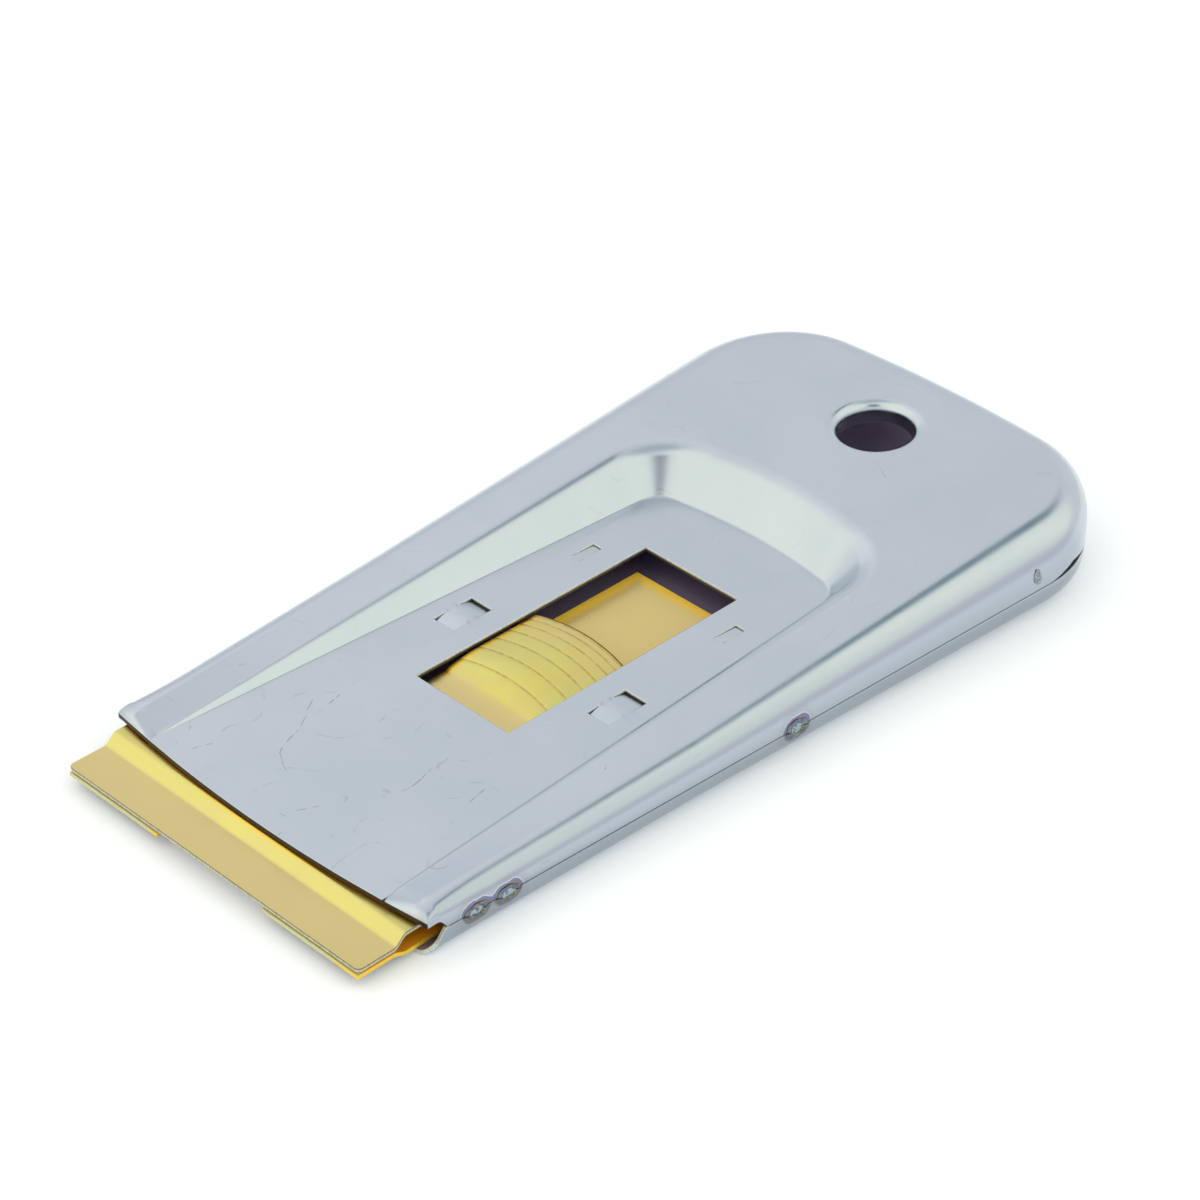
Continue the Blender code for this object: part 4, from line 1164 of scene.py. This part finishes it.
def scratch_mask(tree):
    """Sparse bent scratches with breaks in them."""
    drift = tree.node("TexNoise", {"Vector": tree.place, "Scale": 0.22, "Detail": 1.0}).outputs["Color"]
    drift = tree.vector("MULTIPLY", tree.vector("SUBTRACT", drift, (0.5, 0.5, 0.5)), SCRATCH_BEND)
    bent = tree.vector("ADD", tree.place, drift)
    lines = [tree.ranged(tree.segment(bent, *ends), 0.0, SCRATCH_WIDTH, 1.0, 0.0) for ends in SCRATCHES]
    return tree.times(tree.most(*lines), tree.ranged(tree.noise(1.4, 2.0), 0.38, 0.6))


def scuffs(tree):
    """Short faint curved marks in patches, mostly on the front of the sunken floor."""
    curl = tree.times(tree.noise(0.08, 1.0), SCUFF_LINES)
    lines = tree.ranged(tree.math("PINGPONG", curl, 0.5), SCUFF_WIDTH, 0.0)
    patches = tree.ranged(tree.noise(0.45), 0.52, 0.66)
    often = tree.ranged(tree.parts[1], WINDOW_FRONT - SCUFF_FADE, WINDOW_FRONT, 0.4, 0.12)
    return tree.times(lines, patches, often)


def weld_distance(tree):
    """Distance outside the oval weld spots of the side seam, the same on both sides."""
    across = tree.math("ABSOLUTE", tree.parts[0])
    mirrored = tree.node("CombineXYZ", {0: across, 1: tree.parts[1], 2: tree.parts[2]}).outputs[0]
    outside = []
    for y, z, half_length, half_height in WELDS.values():
        if half_length > half_height:
            spot, _, along, _ = wall_place(y, z)
            half_line = along * (half_length - half_height)
            away = tree.segment(mirrored, spot - half_line, spot + half_line)
            outside.append(tree.less(away, half_height))
    return tree.joined("SMOOTH_MIN", outside, WELD_JOINING)


def heat_tint(tree, colour):
    """Brown haze round the welds, and a violet line with a pale one outside it above them."""
    height = tree.less(tree.parts[2], tree.sloped(tree.parts[1], SEAM_RISE, SEAM_Z))
    above = tree.ranged(height, *TINT_ABOVE, 0.3, 1.0)
    near = tree.math("ADD", weld_distance(tree), tree.spread(tree.noise(0.8, 2.0), -0.06, 0.06))
    pale = tree.times(tree.band(near, *PALE_LINE), above, 0.6)
    violet = tree.times(tree.band(near, *VIOLET_LINE), above, 0.85)
    haze = tree.ranged(near, *HAZE_REACH, 0.0, 0.16)
    rim = tree.ranged(near, *BROWN_LINE, 0.0, 0.8)
    return tree.layered(colour, (haze, TINT_BROWN), (pale, TINT_PALE), (violet, TINT_VIOLET),
                        (rim, TINT_BROWN))


def inside_material():
    """Dull inner side of the sheets: a dark violet tone that is painted glare over its shade, and painted
    light that makes it paler towards the rear.
    """
    tree = material_tree("dark_inside_painted_glare")
    cloud = tree.noise(0.35, 4.0)
    rear = tree.ranged(tree.parts[1], *INSIDE_LIGHT_Y)
    colour = tree.layered(INSIDE_GLARE, (cloud, INSIDE_DARK), (rear, INSIDE_REAR_LIGHT))
    tree.bump(tree.noise(4.0), 0.02)
    return tree.finish(colour, 0.35, tree.spread(cloud, 0.42, 0.6))


def edge_material(name, front_colour, colour):
    """One band of a sheared edge, coloured apart at the mouth, where the top shell's edges get painted shade,
    with the fine ribs that the cut leaves.
    """
    tree = material_tree(name)
    ribs = tree.noise(3.0, 3.0, tree.mapped((1.6, 1.6, 0.5)))
    tone = tree.blend(tree.ranged(tree.parts[1], EDGE_TURN_Y, EDGE_TURN_Y + EDGE_TURN), front_colour, colour)
    dark = tree.blend(1.0, tone, RIB_GREY)
    dark.node.blend_type = "MULTIPLY"
    tree.bump(ribs, 0.02)
    colour = tree.blend(tree.ranged(ribs, 0.35, 0.7), tone, dark)
    return tree.finish(colour, 0.35, tree.spread(ribs, 0.35, 0.5))


def zinc_finish(tree, colour, metallic):
    """Satin gloss and fine rolling lines over a zinc colour."""
    lines = tree.noise(1.0, 3.0, tree.mapped((0.05, 2.2, 0.3)))
    tree.bump(tree.sloped(lines, 0.5, tree.noise(7.0)), 0.006)
    colour = tree.blend(tree.ranged(lines, 0.58, 0.8, 0.0, 0.15), colour, ZINC_GROOVE)
    return tree.finish(colour, metallic, tree.spread(tree.noise(0.12, 4.0), 0.26, 0.34))


def upper_zinc():
    """Yellow chromated zinc of the upper sheet: tan, with a painted lemon highlight on the step and the bump,
    and a painted amber reflection under the lip.
    """
    tree = material_tree("yellow_zinc_upper")
    x, y, _ = tree.parts
    step = tree.band(y, *STEP_HIGHLIGHT)
    bump = tree.band(y, *BUMP_HIGHLIGHT)
    cloud = tree.ranged(tree.noise(0.3), 0.35, 0.7, 0.6, 1.0)
    # Painted highlight: lemon where the step and the bump face the light, broken up by clouds.
    drawn = tree.times(tree.most(tree.times(step, 0.7), bump), cloud)
    stain = tree.ranged(tree.noise(0.22), 0.48, 0.66, 0.0, 0.12)
    side = tree.ranged(x, *BUMP_STAIN_X)
    stained = tree.times(tree.ranged(y, *BUMP_STAIN_Y), tree.most(side, stain))
    # Painted reflection: amber on the sheet just behind the lip, where it reflects the yellow under the lip.
    behind = tree.less(y, tree.sloped(tree.times(x, x), LIP_SWEEP / LIP_HALF ** 2, LIP_Y))
    lip_reflection = tree.ranged(tree.band(behind, *UNDER_LIP_REFLECTION), 0.0, 1.0, 0.0, 0.75)
    colour = tree.layered(ZINC_TAN, (drawn, ZINC_LEMON_HIGHLIGHT), (stained, ZINC_AMBER_STAIN_AND_GLOW), (lip_reflection, ZINC_AMBER_STAIN_AND_GLOW))
    return zinc_finish(tree, colour, 1.0)


def lower_zinc():
    """Yellow chromated zinc of the lower sheet: a painted amber glow along its tail's edges, a painted orange
    glow towards the jaws, and pale at the jaws.
    """
    tree = material_tree("yellow_zinc_lower")
    x, y, _ = tree.parts
    # Painted glow: amber along the tail's edges, where the yellow sheets light each other.
    side = tree.ranged(tree.math("ABSOLUTE", x), *TAIL_GLOW_X)
    amber = tree.most(side, tree.ranged(y, *TAIL_GLOW_Y))
    # Painted glow: orange over the front of the plate in the pocket between the sheets, where the metal is
    # also made less metallic.
    front = tree.ranged(y, *POCKET_ORANGE_GLOW)
    pale = tree.ranged(y, *JAW_PALE)
    colour = tree.layered(ZINC_TAIL, (amber, ZINC_AMBER_STAIN_AND_GLOW), (front, ZINC_ORANGE_GLOW), (pale, ZINC_PALE))
    return zinc_finish(tree, colour, tree.ranged(tree.most(amber, front), 0.0, 1.0, 0.5, 0.15))


def plain_zinc(name, colour, metallic, roughness):
    """Chromated zinc of one colour with soft clouds."""
    tree = material_tree(name)
    cloud = tree.ranged(tree.noise(1.5, 2.0), 0.35, 0.65)
    darker = [CLOUD_SHADE * value for value in colour]
    return tree.finish(tree.blend(cloud, colour, darker), metallic, roughness)


def tab_edge():
    """Cut edge of the lower sheet: pale along the front of the tabs, yellow at their ends and sides."""
    tree = material_tree("zinc_tab_edge")
    x, y, _ = tree.parts
    front = tree.ranged(y, *TAB_PALE)
    corner = tree.ranged(x, *TAB_CORNER)
    notch = tree.band(x, *TAB_NOTCH)
    pale = tree.times(front, tree.less(1.0, tree.most(corner, notch)))
    cloud = tree.ranged(tree.noise(1.5, 2.0), 0.35, 0.65, 0.0, 0.25)
    return tree.finish(tree.layered(ZINC_YELLOW, (pale, ZINC_PALE), (cloud, ZINC_GROOVE)), 0.5, 0.4)


def blade_material():
    """Ground blade steel with grinding lines along the edge."""
    tree = material_tree("blade_ground")
    lines = tree.noise(1.0, 3.0, tree.mapped((0.08, 7.0, 1.0)))
    tree.bump(lines, 0.01)
    return tree.finish(tree.blend(lines, BLADE_GREY, BLADE_DARK), 1.0, tree.spread(lines, 0.2, 0.32))


def weld_ring():
    """Scaly outer ring of a weld, with thin brown and violet lines and the dark trace of the seam."""
    tree = material_tree("weld_ring")
    scale = tree.noise(2.6, 4.0)
    near = tree.math("ADD", weld_distance(tree), tree.spread(scale, -0.05, 0.05))
    seam = tree.sloped(tree.parts[1], SEAM_RISE, SEAM_Z - SEAM_GAP / 2)
    off = tree.math("ABSOLUTE", tree.less(tree.parts[2], seam))
    colour = tree.layered(RING_OLIVE, (tree.ranged(scale, 0.40, 0.60), RING_GREY),
                          (tree.band(near, *RING_VIOLET), TINT_VIOLET),
                          (tree.band(near, *RING_BROWN), TINT_BROWN),
                          (tree.ranged(off, *TRACE_HALF), SEAM_TRACE))
    return weld_finish(tree, colour, scale)


def weld_grain(name, colour, other):
    """Grainy weld metal in two tones."""
    tree = material_tree(name)
    scale = tree.noise(2.6, 4.0)
    return weld_finish(tree, tree.blend(tree.ranged(scale, 0.42, 0.62), colour, other), scale)


def weld_finish(tree, colour, scale):
    tree.bump(scale, 0.05)
    return tree.finish(colour, 1.0, tree.spread(scale, 0.36, 0.24))


def dress(piece, body, node):
    """Put a fine piece on its body in place of the plain solid."""
    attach(piece, body)
    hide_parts(node)


def paint(node, material):
    node.data.materials.clear()
    node.data.materials.append(material)


def build_pieces():
    steel = steel_material()
    inside = inside_material()
    # At the lip the top shell's cut edges are painted shade in dark brown.
    top = [steel, inside, edge_material("top_edge_upper", LIP_SHADE_BROWN, STEEL_BURNISHED),
           edge_material("top_edge_lower", LIP_SHADE_BROWN, STEEL_TORN)]
    tray_edge = edge_material("tray_edge", STEEL_BURNISHED, SEAM_DARK)
    upper = upper_zinc()
    lower = lower_zinc()
    # The upper sheet's underside is painted orange glow, as seen in the pocket between the sheets.
    amber = plain_zinc("zinc_underside_orange_glow", ZINC_ORANGE_GLOW, 0.1, 0.5)
    tab = tab_edge()
    under = plain_zinc("zinc_lower_face", ZINC_UNDER, 1.0, 0.35)
    # Dark brown on the tongue's cut edges and on its last strip is painted shadow.
    brown = plain_zinc("zinc_shade_brown_edge", ZINC_SHADE_BROWN, 1.0, 0.4)
    jaw = [upper, amber, edge_material("zinc_torn_edge", ZINC_TORN, ZINC_TORN),
           edge_material("zinc_burnished_edge", ZINC_BURNISHED, ZINC_BURNISHED)]
    bump = [upper, amber, brown, brown, plain_zinc("zinc_groove", ZINC_GROOVE, 1.0, 0.4), brown]
    dress(top_shell(top), "handle", "top_shell")
    dress(bottom_shell([steel, inside, tray_edge, tray_edge]), "handle", "bottom_shell")
    dress(upper_jaw(jaw), "carrier", "upper_jaw")
    dress(lower_jaw([lower, under, tab, tab]), "carrier", "lower_jaw")
    dress(thumb_tongue(bump), "tongue", "thumb_tongue")
    seam_weld = [weld_ring(), weld_grain("weld_nugget", NUGGET_GREY, NUGGET_DARK)]
    rear_weld = [weld_grain("weld_spot", SPOT_GREY, SPOT_DARK)] * 2
    for side, word in ((-1, "left"), (1, "right")):
        for pattern, spot in WELDS.items():
            node = pattern.format(word)
            metals = rear_weld if "rear" in pattern else seam_weld
            dress(weld_bead(node.replace("weld", "bead"), side, spot, metals), "handle", node)
        paint(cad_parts["carrier_stud_" + word], lower)
    paint(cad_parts["blade"], blade_material())


def make_camera():
    data = bpy.data.cameras.new("photo_view")
    data.lens = LENS
    data.sensor_width = SENSOR
    data.clip_start, data.clip_end = CLIP
    camera = new_object("photo_view", data)
    turn = Matrix.Translation(Vector(TARGET) * MM)
    for angle, axis in ((VIEW_AZIMUTH, "Z"), (math.pi / 2 - VIEW_ELEVATION, "X"), (VIEW_ROLL, "Z")):
        turn = turn @ Matrix.Rotation(angle, 4, axis)
    camera.matrix_world = turn @ Matrix.Translation((0.0, 0.0, VIEW_DISTANCE * MM))
    bpy.context.scene.camera = camera


def make_floor():
    half = FLOOR_SIZE / 2
    mesh = bpy.data.meshes.new("floor")
    corners = [(-half, -half), (half, -half), (half, half), (-half, half)]
    mesh.from_pydata([(x * MM, y * MM, -FLOOR_DROP * MM) for x, y in corners], [], [(0, 1, 2, 3)])
    tree = material_tree("floor_white")
    rays = tree.node("LightPath", {}).outputs
    seen = tree.most(rays["Is Camera Ray"], rays["Is Glossy Ray"], rays["Is Transmission Ray"])
    tree.set({"Specular IOR Level": 0.0, "Emission Color": GLOW_BLUE,
              "Emission Strength": tree.times(seen, FLOOR_GLOW)})
    mesh.materials.append(tree.finish(FLOOR_WHITE, 0.0, FLOOR_ROUGHNESS))
    floor = new_object("floor", mesh)


def make_world():
    """Soft studio surround: softboxes, with darker gaps beside them."""
    world = bpy.data.worlds.new("studio")
    tree = Tree(world, "Background")
    bpy.context.scene.world = world
    direction = tree.node("TexCoord", {}).outputs["Generated"]
    colour = SKY
    for way, full, end, level in PATCHES.values():
        toward = tree.vector("DOT_PRODUCT", direction, Vector(way).normalized())
        limits = [math.cos(math.radians(angle)) for angle in (end, full)]
        colour = tree.blend(tree.ranged(toward, *limits), colour, level)
    tree.set({"Color": colour})


def main():
    bpy.context.scene.view_settings.view_transform = "Standard"
    build_pieces()
    make_camera()
    make_floor()
    make_world()
    bpy.context.view_layer.update()


main()
